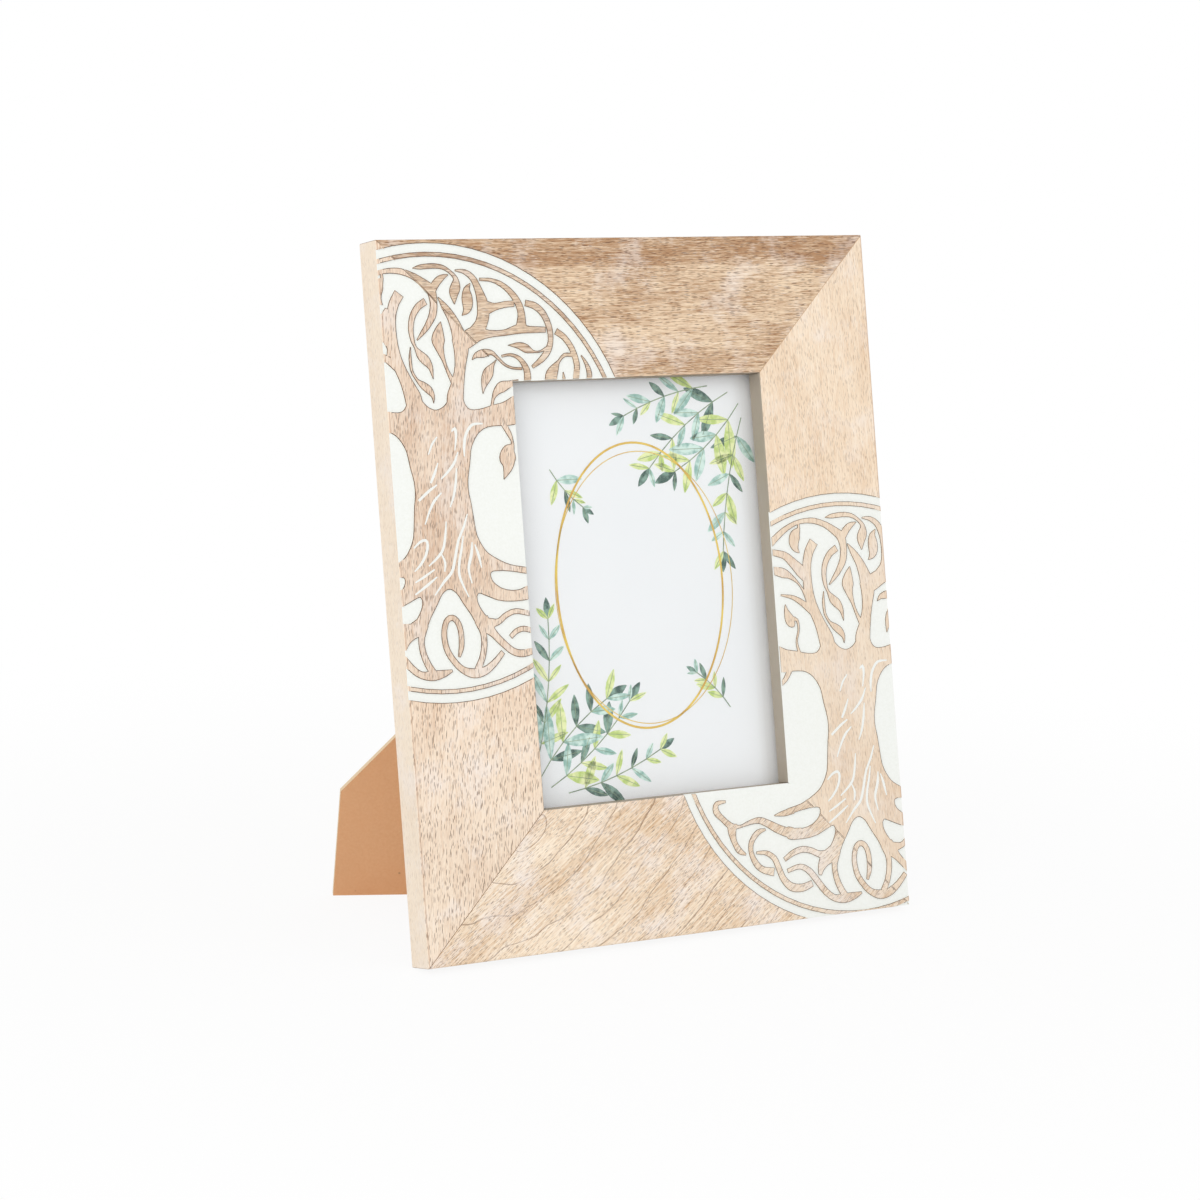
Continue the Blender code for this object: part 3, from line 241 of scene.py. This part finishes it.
def open_pores(tree, board, shifted, surface, grain, colour):
    """Pores: dashes about 2 mm long and 0.3 mm wide, most in darker wood. Some hold wash and are pale."""
    sway = (1.4, 1.4, 1.4)
    wobble = add(tree, "TexNoise", {"Vector": shifted, "Scale": 0.12, "Detail": 1.0}).outputs["Color"]
    place = along_grain(tree, shifted, board, "pore", board["pore_size"])
    place = add(tree, "VectorMath", (wobble, sway, place), operation="MULTIPLY_ADD")
    cells = add(tree, "TexVoronoi", {"Vector": place, "Scale": 1.0, "Randomness": 1.0})
    shape = add(tree, "MapRange", (cells.outputs["Distance"], 0.4, 0.26, 0.0, 1.0))
    pick = add(tree, "SeparateXYZ", (cells.outputs["Color"],))
    depth = add(tree, "Math", (grain, 0.5, pick.outputs["X"]), operation="MULTIPLY_ADD")
    depth = add(tree, "MapRange", (depth, 0.25, 0.9, 0.0, board["open_pores"]))
    fewer_on_sides = add(tree, "Math", (surface["faces_side"], -0.75, 1.0), operation="MULTIPLY_ADD")
    pores = all_of(tree, (shape, depth, fewer_on_sides))
    filled = add(tree, "MapRange", (pick.outputs["Y"], 0.66, 0.9, 0.0, 0.55))
    filled = all_of(tree, (filled, shape))
    colour = add(tree, "Mix", {AMOUNT: filled, UNDER: colour, OVER: linear("#FAF2E9")}, data_type="RGBA")
    colour = add(tree, "Mix", {AMOUNT: pores, UNDER: colour, OVER: linear("#5E3C25")}, data_type="RGBA")
    return colour, pores


def rubbed_places(tree, surface, colour):
    """A thin film of paint on the trees, browner wood along the outer edges, and painted shade that greys
    the window walls.
    """
    film_radius = PAINT_RADIUS - 2.5
    film_share = 0.2
    filmed = add(tree, "Math", (surface["reach"], film_radius), operation="LESS_THAN")
    film = all_of(tree, (filmed, surface["faces_front"], film_share))
    colour = add(tree, "Mix", {AMOUNT: film, UNDER: colour, OVER: linear("#D2C8BE")}, data_type="RGBA")
    rub_starts = HALF_WIDTH - 0.9
    rub_full = HALF_WIDTH - 0.5
    rubbed = add(tree, "MapRange", (surface["across"], rub_starts, rub_full, 0.0, 0.45))
    rubbed = all_of(tree, (rubbed, surface["faces_front"]))
    colour = add(tree, "Mix", {AMOUNT: rubbed, UNDER: colour, OVER: linear("#A87A58")}, data_type="RGBA")
    # Painted shade: the walls inside the window opening are greyed as if in shadow
    painted_shade_share = 0.72
    narrow = add(tree, "Math", (surface["across"], HALF_OPENING + SLACK), operation="LESS_THAN")
    above = add(tree, "Math", (surface["up"], OPENING_LOW - SLACK), operation="GREATER_THAN")
    under = add(tree, "Math", (surface["up"], OPENING_HIGH + SLACK), operation="LESS_THAN")
    window = all_of(tree, (narrow, above, under, painted_shade_share))
    return add(tree, "Mix", {AMOUNT: window, UNDER: colour, OVER: linear("#827A6E")}, data_type="RGBA")


def chalk_white(tree, point):
    """The white of the chalk paint, with a breath of unevenness about a millimetre across."""
    fine = add(tree, "TexNoise", {"Vector": point, "Scale": 1.1, "Detail": 2.0})
    return add(tree, "Mix", {AMOUNT: fine, UNDER: linear("#F7F9F6"), OVER: linear("#EDEFE9")},
               data_type="RGBA")


def painted_cut(tree, point, surface, colour):
    """Chalk paint on the carved ground and up its walls, which are scorched along their upper edge."""
    scorched_depth = 0.18
    past_ground = 1.4 * CARVING_DEPTH
    in_ring = add(tree, "Math", (surface["reach"], PAINT_RADIUS + SLACK), operation="LESS_THAN")
    shallow = add(tree, "Math", (surface["depth"], past_ground), operation="LESS_THAN")
    upright = add(tree, "Math", (surface["facing"], 0.5), operation="LESS_THAN")
    inboard = add(tree, "Math", (surface["across"], HALF_WIDTH - SLACK), operation="LESS_THAN")
    wall = all_of(tree, (upright, shallow, in_ring, inboard))
    upper = add(tree, "Math", (surface["depth"], scorched_depth), operation="LESS_THAN")
    scorched = all_of(tree, (wall, upper))
    colour = add(tree, "Mix", {AMOUNT: scorched, UNDER: colour, OVER: linear("#9C7E66")}, data_type="RGBA")
    low_wall = add(tree, "Math", (wall, scorched), operation="SUBTRACT")
    below = add(tree, "Math", (surface["depth"], CARVING_DEPTH / 2), operation="GREATER_THAN")
    ground = all_of(tree, (below, shallow, surface["faces_front"], in_ring))
    paint = add(tree, "Math", (ground, low_wall), operation="MAXIMUM")
    white = chalk_white(tree, point)
    colour = add(tree, "Mix", {AMOUNT: paint, UNDER: colour, OVER: white}, data_type="RGBA")
    return colour, paint


# Wood: mango, planed, limewashed and rubbed back. Short open pores, soft streaks, chalky patches of wash.
# Inside the medallions the carved ground is covered with chalk paint, and the cut is scorched at its edge
def limewashed_mango(board):
    material, tree = new_material(board["name"])
    point = frame_point(tree)
    surface = rail_surface(tree, point)
    shifted = add(tree, "VectorMath", (point, board["offset"]), operation="ADD")
    grain, streaks, hairs = mango_grain(tree, board, shifted, surface)
    colour = add(tree, "Mix", {
        AMOUNT: grain, UNDER: linear(board["light"]), OVER: linear(board["dark"])}, data_type="RGBA")
    if board["rings"]:
        colour = growth_rings(tree, board, point, colour)
    colour = limewash(tree, board, shifted, surface, hairs, colour)
    colour, pores = open_pores(tree, board, shifted, surface, grain, colour)
    colour = rubbed_places(tree, surface, colour)
    colour, paint = painted_cut(tree, point, surface, colour)
    roughness = add(tree, "MapRange", (streaks, 0.3, 0.7, 0.52, 0.7))
    relief = add(tree, "Math", (streaks, pores), operation="SUBTRACT")
    bare = add(tree, "Math", (1.0, paint), operation="SUBTRACT")
    bump = add(tree, "Bump", {
        "Height": all_of(tree, (relief, bare)), "Strength": 0.5, "Distance": 0.12 * MM})
    shader = add(tree, "BsdfPrincipled", {"Base Color": colour, "Roughness": roughness, "Normal": bump})
    finish_material(tree, shader)
    return material


# Scorched line: the hot cutter browned the wood where it met the surface, in patches about 2 mm wide
def scorched_wood():
    material, tree = new_material("scorched_mango_edge")
    patches = add(tree, "TexNoise", {"Vector": frame_point(tree), "Scale": 0.55, "Detail": 3.0})
    burn = add(tree, "MapRange", (patches, 0.38, 0.6, 0.0, 1.0))
    colour = add(tree, "Mix", {AMOUNT: burn, UNDER: linear("#8A6A52"), OVER: linear("#48342A")},
                 data_type="RGBA")
    shader = add(tree, "BsdfPrincipled", {"Base Color": colour, "Roughness": 0.75})
    finish_material(tree, shader)
    return material


# Filler rubbed into the mitres: matt, a little darker than the wood, with dust about 1 mm wide
def wood_putty(name, light, dark):
    material, tree = new_material(name)
    dust = add(tree, "TexNoise", {"Vector": frame_point(tree), "Scale": 0.8, "Detail": 2.0})
    colour = add(tree, "Mix", {AMOUNT: dust, UNDER: linear(light), OVER: linear(dark)}, data_type="RGBA")
    shader = add(tree, "BsdfPrincipled", {"Base Color": colour, "Roughness": 0.85})
    finish_material(tree, shader)
    return material


# The same matt chalk paint as on the carved ground, where it fills the slits in the bark or bridges a mitre
def chalk_paint():
    material, tree = new_material("chalk_paint")
    colour = chalk_white(tree, frame_point(tree))
    shader = add(tree, "BsdfPrincipled", {"Base Color": colour, "Roughness": 0.6})
    finish_material(tree, shader)
    return material


# Fibreboard: pressed wood dust, even and brown on the face, paler where it was sawn. out is its face's
# direction. Dust is about 1 mm, specks lie about 13 mm apart, and clouds are about 36 mm wide
def fibreboard(name, out):
    material, tree = new_material(name)
    coordinates = add(tree, "TexCoord").outputs
    place = coordinates["Object"]
    dust = add(tree, "TexNoise", {"Vector": place, "Scale": 0.9 / MM, "Detail": 3.0})
    cloud = add(tree, "TexNoise", {"Vector": place, "Scale": 0.028 / MM, "Detail": 2.0})
    face = add(tree, "Mix", {AMOUNT: cloud, UNDER: linear("#E9BD91"), OVER: linear("#E0AE82")},
               data_type="RGBA")
    face = add(tree, "Mix", {AMOUNT: dust, UNDER: face, OVER: linear("#DAA376")}, data_type="RGBA")
    specks = add(tree, "TexVoronoi", {"Vector": place, "Scale": 0.075 / MM})
    speck = add(tree, "MapRange", (specks.outputs["Distance"], 0.055, 0.03, 0.0, 0.5))
    face = add(tree, "Mix", {AMOUNT: speck, UNDER: face, OVER: linear("#7A5236")}, data_type="RGBA")
    facing = add(tree, "VectorMath", (coordinates["Normal"], out), operation="DOT_PRODUCT")
    flatness = add(tree, "Math", (facing,), operation="ABSOLUTE")
    sawn = add(tree, "Math", (flatness, 0.6), operation="LESS_THAN")
    colour = add(tree, "Mix", {AMOUNT: sawn, UNDER: face, OVER: linear("#EBD2AE")}, data_type="RGBA")
    bump = add(tree, "Bump", {"Height": dust, "Strength": 0.3, "Distance": 0.1 * MM})
    shader = add(tree, "BsdfPrincipled", {"Base Color": colour, "Roughness": 0.62, "Normal": bump})
    finish_material(tree, shader)
    return material


# Float glass: clear, polished, seen only by what it mirrors, which is more at a glancing look
def float_glass():
    material, tree = new_material("float_glass")
    slant = add(tree, "LayerWeight", {"Blend": 0.5}).outputs["Facing"]
    glancing = add(tree, "Math", (slant, 4.0), operation="POWER")
    mirrored = add(tree, "MapRange", (glancing, 0.0, 1.0, 0.03, 0.9))
    shader = add(tree, "BsdfPrincipled", {
        "Base Color": linear("#F4FAFA"), "Metallic": 1.0, "Roughness": 0.02, "Alpha": mirrored})
    finish_material(tree, shader)
    return material


# Card: coated paper in a cold pale white, with a soft sheen and clouds about 50 mm wide
def coated_card():
    material, tree = new_material("coated_card")
    cloud = add(tree, "TexNoise", {"Vector": frame_point(tree), "Scale": 0.02, "Detail": 1.0})
    colour = add(tree, "Mix", {AMOUNT: cloud, UNDER: linear("#F5F6F7"), OVER: linear("#F0F2F4")},
                 data_type="RGBA")
    shader = add(tree, "BsdfPrincipled", {"Base Color": colour, "Roughness": 0.45})
    finish_material(tree, shader)
    return material


# Printed ink: flat on the card, washed from one tone to another as in a watercolour
def watercolour_ink(name, pale, deep, patches_per_mm):
    material, tree = new_material(name)
    wash = add(tree, "TexNoise", {"Vector": frame_point(tree), "Scale": patches_per_mm, "Detail": 2.0})
    amount = add(tree, "MapRange", (wash, 0.38, 0.62, 0.0, 1.0))
    colour = add(tree, "Mix", {AMOUNT: amount, UNDER: linear(pale), OVER: linear(deep)}, data_type="RGBA")
    shader = add(tree, "BsdfPrincipled", {"Base Color": colour, "Roughness": 0.45})
    finish_material(tree, shader)
    return material


# Small metal parts: rolled or headed stock, plated or bright. Scratches about 3 mm long and 0.3 mm wide,
# and stains about 5 mm wide
def plated_metal(name, tint, dull, roughness):
    material, tree = new_material(name)
    place = add(tree, "TexCoord").outputs["Object"]
    stretched = add(tree, "Mapping", {"Vector": place, "Scale": (3 / MM, 0.3 / MM, 0.3 / MM)})
    scratches = add(tree, "TexNoise", {"Vector": stretched, "Scale": 1.0, "Detail": 3.0})
    stains = add(tree, "TexNoise", {"Vector": place, "Scale": 0.22 / MM, "Detail": 2.0})
    colour = add(tree, "Mix", {AMOUNT: stains, UNDER: linear(tint), OVER: linear(dull)}, data_type="RGBA")
    gloss = add(tree, "MapRange", (scratches, 0.3, 0.7, roughness - 0.07, roughness + 0.1))
    bump = add(tree, "Bump", {"Height": scratches, "Strength": 0.15, "Distance": 0.02 * MM})
    shader = add(tree, "BsdfPrincipled", {
        "Base Color": colour, "Metallic": 1.0, "Roughness": gloss, "Normal": bump})
    finish_material(tree, shader)
    return material


def dress(node, material):
    """Give a carried-over piece its material."""
    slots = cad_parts[node].data.materials
    slots.clear()
    slots.append(material)


def new_piece(name, bm, material):
    """A finished piece that rides on the frame and takes its finish from a slot."""
    mesh = bpy.data.meshes.new(name)
    bm.to_mesh(mesh)
    bm.free()
    mesh.materials.append(material)
    piece = bpy.data.objects.new(name, mesh)
    bpy.context.scene.collection.objects.link(piece)
    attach(piece, "frame")


def leaning_copy(rail):
    """A merged copy of a rail's mesh, in metres in the leaning frame."""
    bm = bmesh.new()
    bm.from_mesh(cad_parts[rail].data)
    bmesh.ops.remove_doubles(bm, verts=bm.verts, dist=0.002 * MM)
    bmesh.ops.transform(bm, matrix=TO_FRAME, verts=bm.verts)
    bm.normal_update()
    return bm


def scorched_line(rail, width):
    """A thin band on the rail's front, along every edge of the carved ground."""
    lift = 0.02 * MM
    level = 0.05 * MM
    steep = 0.2
    bm = leaning_copy(rail)
    top = [face for face in bm.faces
           if face.normal.y < FLAT and max(vert.co.y for vert in face.verts) < level]
    band = bmesh.ops.inset_region(bm, faces=top, thickness=width, use_even_offset=False,
                                  use_boundary=True)["faces"]
    kept = set()
    for face in band:
        beside = [other for edge in face.edges for other in edge.link_faces if other is not face]
        walls = [other for other in beside
                 if abs(other.normal.y) < steep
                 and abs(max(vert.co.y for vert in other.verts) - CARVING_DEPTH * MM) < level]
        if walls:
            kept.add(face)
    bmesh.ops.delete(bm, geom=[face for face in bm.faces if face not in kept], context="FACES")
    bmesh.ops.translate(bm, vec=(0, -lift, 0), verts=bm.verts)
    bmesh.ops.transform(bm, matrix=FROM_FRAME, verts=bm.verts)
    return bm


def slit_paint(rail):
    """Paint that fills the slits in the bark nearly to the surface."""
    below = 0.06 * MM
    level = 0.02 * MM
    bm = leaning_copy(rail)
    others = [face for face in bm.faces
              if face.normal.y > FLAT
              or max(abs(vert.co.y - SLIT_DEPTH * MM) for vert in face.verts) > level]
    bmesh.ops.delete(bm, geom=others, context="FACES")
    bmesh.ops.translate(bm, vec=(0, below - SLIT_DEPTH * MM, 0), verts=bm.verts)
    bmesh.ops.transform(bm, matrix=FROM_FRAME, verts=bm.verts)
    return bm


def mitre_bar(bm, middle, length, turn, top):
    """A thin bar laid in a mitre, with its upper face so far below the front. In millimetres."""
    thickness = 2.0
    bar = bmesh.ops.create_cube(bm, size=1.0)["verts"]
    place = Matrix.Translation(middle + Vector((0, top + thickness / 2, 0)))
    scale = Matrix.Diagonal((length, thickness, MITRE_WIDTH, 1))
    bmesh.ops.transform(bm, matrix=place @ Matrix.Rotation(turn, 4, "Y") @ scale, verts=bar)


def mitre_filler(side, end, depth):
    """A bead of filler along the mitre of one corner: side is -1 or 1 across, end is -1 or 1 up."""
    corner_share = 0.012
    window_gap = 1.0
    outer = Vector((side * HALF_WIDTH, 0, 0 if end < 0 else HEIGHT))
    inner = Vector((side * HALF_OPENING, 0, OPENING_LOW if end < 0 else OPENING_HIGH))
    start = outer + (inner - outer) * corner_share
    turn = -math.atan2(inner.z - outer.z, inner.x - outer.x)
    bm = bmesh.new()
    mitre_bar(bm, (start + inner) / 2, (inner - start).length - window_gap, turn, depth)
    bmesh.ops.transform(bm, matrix=FROM_FRAME @ Matrix.Scale(MM, 4), verts=bm.verts)
    return bm


def closed_mitre(rail, level):
    """Wood that closes a mitre where the carving leaves it at the surface. Along it, u + v is the level."""
    near_front = 0.05
    near_mitre = 0.4
    below = 0.02
    source = leaning_copy(rail)
    bm = bmesh.new()
    for edge in source.edges:
        one, two = (vert.co / MM for vert in edge.verts)
        strays = [abs(end.x + end.z - level) for end in (one, two)]
        if max(one.y, two.y) < near_front and max(strays) < near_mitre:
            across = (one.x + two.x) / 2
            middle = Vector((across, 0, level - across))
            mitre_bar(bm, middle, (two - one).length, math.radians(45), below)
    source.free()
    bmesh.ops.transform(bm, matrix=FROM_FRAME @ Matrix.Scale(MM, 4), verts=bm.verts)
    return bm


def on_card(bm, lift):
    """Lay a flat shape, drawn in millimetres across and up the card, on the card's face."""
    turn = Matrix.Rotation(math.pi / 2, 4, "X")
    place = Matrix.Translation((0, CARD_FACE * MM - lift, CARD_LOW * MM))
    bmesh.ops.transform(bm, matrix=FROM_FRAME @ place @ turn @ Matrix.Scale(MM, 4), verts=bm.verts)


def add_leaf(bm, place, angle, length, width):
    """A pointed leaf with its stalk end at place."""
    pointed = 0.6
    made = bmesh.ops.create_circle(bm, cap_ends=True, segments=16, radius=0.5)["verts"]
    for vert in made:
        vert.co.y *= 1 - (2 * abs(vert.co.x)) ** 2 * pointed
    matrix = (Matrix.Translation((*place, 0)) @ Matrix.Rotation(angle, 4, "Z")
              @ Matrix.Diagonal((length, width, 1, 1)) @ Matrix.Translation((0.5, 0, 0)))
    bmesh.ops.transform(bm, matrix=matrix, verts=made)


def add_line(bm, start, end, width):
    """A thin straight stroke."""
    along = end - start
    made = bmesh.ops.create_grid(bm, x_segments=1, y_segments=1, size=0.5)["verts"]
    matrix = (Matrix.Translation((*(start + end) / 2, 0))
              @ Matrix.Rotation(math.atan2(along.y, along.x), 4, "Z")
              @ Matrix.Diagonal((along.length, width, 1, 1)))
    bmesh.ops.transform(bm, matrix=matrix, verts=made)


def add_ring(bm, centre, radii, width):
    """A thin oval line."""
    made = bmesh.ops.create_circle(bm, cap_ends=True, segments=96, radius=1.0)["verts"]
    matrix = Matrix.Translation((*centre, 0)) @ Matrix.Diagonal((*radii, 1, 1))
    bmesh.ops.transform(bm, matrix=matrix, verts=made)
    face = made[0].link_faces[0]
    bmesh.ops.inset_individual(bm, faces=[face], thickness=width)
    bmesh.ops.delete(bm, geom=[face], context="FACES")


def add_spray(inks, start, angle, length, count, leaf, bend, rng):
    """A bending stalk with leaves in pairs, shorter towards its end."""
    stalk_width = 0.45
    rib_width = 0.22
    rib_share = 0.92
    point = Vector(start)
    step = length / count
    for index in range(count):
        ahead = point + Vector((math.cos(angle), math.sin(angle))) * step
        add_line(inks["stalk"], point, ahead, stalk_width)
        size = leaf * (1.05 - 0.55 * index / count)
        for side in (-1, 1):
            ink = inks[rng.choice(("deep", "lime", "lime", "cool", "cool"))]
            aim = angle + side * rng.uniform(0.45, 1.0)
            long = size * rng.uniform(0.7, 1.15)
            add_leaf(ink, ahead, aim, long, long * rng.uniform(0.24, 0.36))
            tip = ahead + Vector((math.cos(aim), math.sin(aim))) * long * rib_share
            add_line(inks["stalk"], ahead, tip, rib_width)
        point = ahead
        angle += bend
    add_leaf(inks["deep"], point, angle, leaf * 0.6, leaf * 0.22)


def printed_card():
    """A plain greetings-card design: two fine gilt ovals with loose green sprays crossing them."""
    rng = random.Random(7)
    inks = {name: bmesh.new() for name in ("deep", "lime", "cool", "stalk")}
    # Each spray: its foot, direction, length, pairs of leaves, longest leaf, and bend at each pair
    sprays = [
        ((-56, 18), 1.25, 60, 7, 15, 0.05),
        ((-55, 12), 0.9, 46, 5, 19, -0.09),
        ((-50, 8), 0.5, 52, 6, 16, 0.07),
        ((-42, 5), 0.15, 48, 6, 14, 0.06),
        ((56, 156), 4.35, 58, 7, 15, 0.04),
        ((55, 162), 4.0, 44, 5, 19, -0.09),
        ((50, 167), 3.6, 52, 6, 16, 0.07),
        ((40, 170), 3.25, 44, 6, 14, 0.06),
        ((40, 34), 2.2, 22, 4, 10, 0.1),
        ((-40, 138), 5.3, 22, 4, 10, 0.1)]
    for start, angle, length, count, leaf, bend in sprays:
        add_spray(inks, start, angle, length, count, leaf, bend, rng)
    colours = {
        "deep": ("#86A899", "#34564B", 0.35), "lime": ("#EEF4B8", "#BFD676", 0.3),
        "cool": ("#D9EFE6", "#8FBBB0", 0.3), "stalk": ("#9DB08A", "#6C8466", 0.2)}
    # The inks lie one over another, each a hair higher
    lowest = 0.02 * MM
    step = 0.015 * MM
    for index, (name, (pale, deep, patches)) in enumerate(colours.items()):
        on_card(inks[name], lowest + step * index)
        ink = watercolour_ink(name + "_green_ink", pale, deep, patches)
        new_piece("card_ink_" + name, inks[name], ink)
    gilt = bmesh.new()
    add_ring(gilt, (0, 88), (41, 60), 0.9)
    add_ring(gilt, (2, 87), (43.5, 57), 0.35)
    on_card(gilt, 0.09 * MM)
    ochre = watercolour_ink("yellow_ochre_ink", "#EBCB54", "#D2A43A", 0.08)
    new_piece("card_ink_gilt", gilt, ochre)


def carved_rails(woods, chalk):
    """The wood of the rails, the scorched line round their carving, and paint in the slits of the bark."""
    scorched = scorched_wood()
    for rail, wood in woods.items():
        dress(rail, wood)
        width = 0.28 if rail in ("rail_top", "stile_left") else 0.22
        new_piece(rail + "_scorched_line", scorched_line(rail, width * MM), scorched)
    for rail in ("stile_left", "stile_right"):
        new_piece(rail + "_slit_paint", slit_paint(rail), chalk)


def mitre_joints(woods, chalk):
    """What closes the mitres: paint in the carved ones, putty in the others, and wood across the paint."""
    putty = wood_putty("brown_wood_putty", "#B08C6A", "#80614A")
    light_putty = wood_putty("pale_wood_putty", "#DDBE9C", "#B9936D")
    on_ground = CARVING_DEPTH + 0.01
    mitres = [
        ("upper_left", -1, 1, on_ground, chalk),
        ("lower_right", 1, -1, on_ground, chalk),
        ("upper_right", 1, 1, 0.05, light_putty),
        ("lower_left", -1, -1, 0.3, putty)]
    for name, side, end, depth, material in mitres:
        new_piece("mitre_filler_" + name, mitre_filler(side, end, depth), material)
    for rail, level in (("rail_top", HEIGHT - HALF_WIDTH), ("rail_bottom", HALF_WIDTH)):
        new_piece(rail + "_closed_mitre", closed_mitre(rail, level), woods[rail])


def flat_pieces():
    """The leg, the board, the glass and the card."""
    leg_face = Vector((math.sin(LEG_OPEN) * math.sqrt(0.5), math.cos(LEG_OPEN),
                       math.sin(LEG_OPEN) * math.sqrt(0.5)))
    dress("easel_leg", fibreboard("fibreboard_leg", FROM_FRAME.to_3x3() @ leg_face))
    dress("backing_board", fibreboard("fibreboard_back", FRONT))
    dress("glass_pane", float_glass())
    dress("print_card", coated_card())


def metal_pieces():
    """Nails, turn buttons, hinge, screws and rivets."""
    zinc = plated_metal("zinc_plated_steel", "#C9CCCB", "#AEB2B3", 0.36)
    brassed = plated_metal("brass_plated_steel", "#D9B56B", "#B08D4C", 0.34)
    brass = plated_metal("bright_brass", "#E0BC6E", "#C29C55", 0.28)
    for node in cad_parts:
        if node.endswith("screw") or "rivet" in node:
            dress(node, brass)
        elif node.startswith("hinge"):
            dress(node, brassed)
        elif node.startswith(("corner_nail", "button")):
            dress(node, zinc)


def seen_directly(tree):
    """1 where the camera sees something itself, in a mirror or through glass. 0 where it only lights."""
    path = add(tree, "LightPath").outputs
    seen = path["Is Camera Ray"]
    for ray in ("Is Glossy Ray", "Is Transmission Ray"):
        seen = add(tree, "Math", (seen, path[ray]), operation="MAXIMUM")
    return seen


# Paper sweep: matt white, and bright as the room away from the frame, so that no edge or horizon shows
def white_sweep():
    material, tree = new_material("white_sweep")
    point = add(tree, "TexCoord").outputs["Object"]
    away = add(tree, "VectorMath", (point,), operation="LENGTH")
    fade = add(tree, "MapRange", (away, 0.15, 0.6, 0.9, 1.0), interpolation_type="SMOOTHSTEP")
    share = all_of(tree, (seen_directly(tree), fade))
    paper = add(tree, "BsdfDiffuse", {"Color": linear("#F6F6F6")})
    glow = add(tree, "Emission", {"Color": linear("#FFFFFF"), "Strength": 1.0})
    finish_material(tree, add(tree, "MixShader", (share, paper, glow)))
    return material


def stage():
    """A seamless white table, which keeps a soft shadow."""
    bm = bmesh.new()
    bmesh.ops.create_grid(bm, x_segments=1, y_segments=1, size=6.0)
    mesh = bpy.data.meshes.new("table_top")
    bm.to_mesh(mesh)
    bm.free()
    mesh.materials.append(white_sweep())
    floor = bpy.data.objects.new("table_top", mesh)
    bpy.context.scene.collection.objects.link(floor)


def lights():
    """A pale room all round, a broad window to the left and a weak one to the right."""
    world = bpy.data.worlds.new("pale_room")
    bpy.context.scene.world = world
    world.use_nodes = True
    tree = world.node_tree
    tree.nodes.clear()
    strength = add(tree, "MapRange", (seen_directly(tree), 0.0, 1.0, 0.72, 1.0))
    room = add(tree, "Background", {"Color": linear("#FFFFFF"), "Strength": strength})
    add(tree, "OutputWorld", {"Surface": room})
    frame_middle = Vector((0, 0, 0.14))
    # Each window: its place and side in metres, its watts and its tint
    windows = [
        ("left_window", Vector((-1.45, -1.3, 1.0)), 1.2, 13.5, "#FFFEFC"),
        ("right_window", Vector((0.9, -1.6, 0.9)), 1.0, 4.0, "#FAFCFF")]
    for name, place, size, power, tint in windows:
        lamp = bpy.data.lights.new(name, "AREA")
        lamp.shape = "SQUARE"
        lamp.size = size
        lamp.energy = power
        lamp.color = linear(tint)[:3]
        holder = bpy.data.objects.new(name, lamp)
        holder.location = place
        holder.rotation_euler = (frame_middle - place).to_track_quat("-Z", "Y").to_euler()
        holder.visible_glossy = False
        bpy.context.scene.collection.objects.link(holder)


def camera():
    """The photograph's view: from the left, a little above, through a long lens."""
    yaw = math.radians(31.549)
    pitch = math.radians(9.735)
    roll = math.radians(-1.701)
    eye = Vector((-752.57, -1220.024, 379.114)) * MM
    forward = Vector((math.sin(yaw) * math.cos(pitch), math.cos(yaw) * math.cos(pitch), -math.sin(pitch)))
    level = Vector((math.cos(yaw), -math.sin(yaw), 0))
    down = forward.cross(level)
    right = math.cos(roll) * level + math.sin(roll) * down
    up = math.sin(roll) * level - math.cos(roll) * down
    turn = Matrix((right, up, -forward)).transposed()
    lens = bpy.data.cameras.new("view")
    lens.lens = 103.005
    lens.sensor_width = 36
    holder = bpy.data.objects.new("view", lens)
    holder.matrix_world = Matrix.Translation(eye) @ turn.to_4x4()
    bpy.context.scene.collection.objects.link(holder)
    bpy.context.scene.camera = holder


def main():
    woods = {rail: limewashed_mango(board) for rail, board in BOARDS.items()}
    chalk = chalk_paint()
    carved_rails(woods, chalk)
    mitre_joints(woods, chalk)
    flat_pieces()
    metal_pieces()
    printed_card()
    stage()
    lights()
    camera()
    bpy.context.scene.view_settings.view_transform = "Standard"


main()
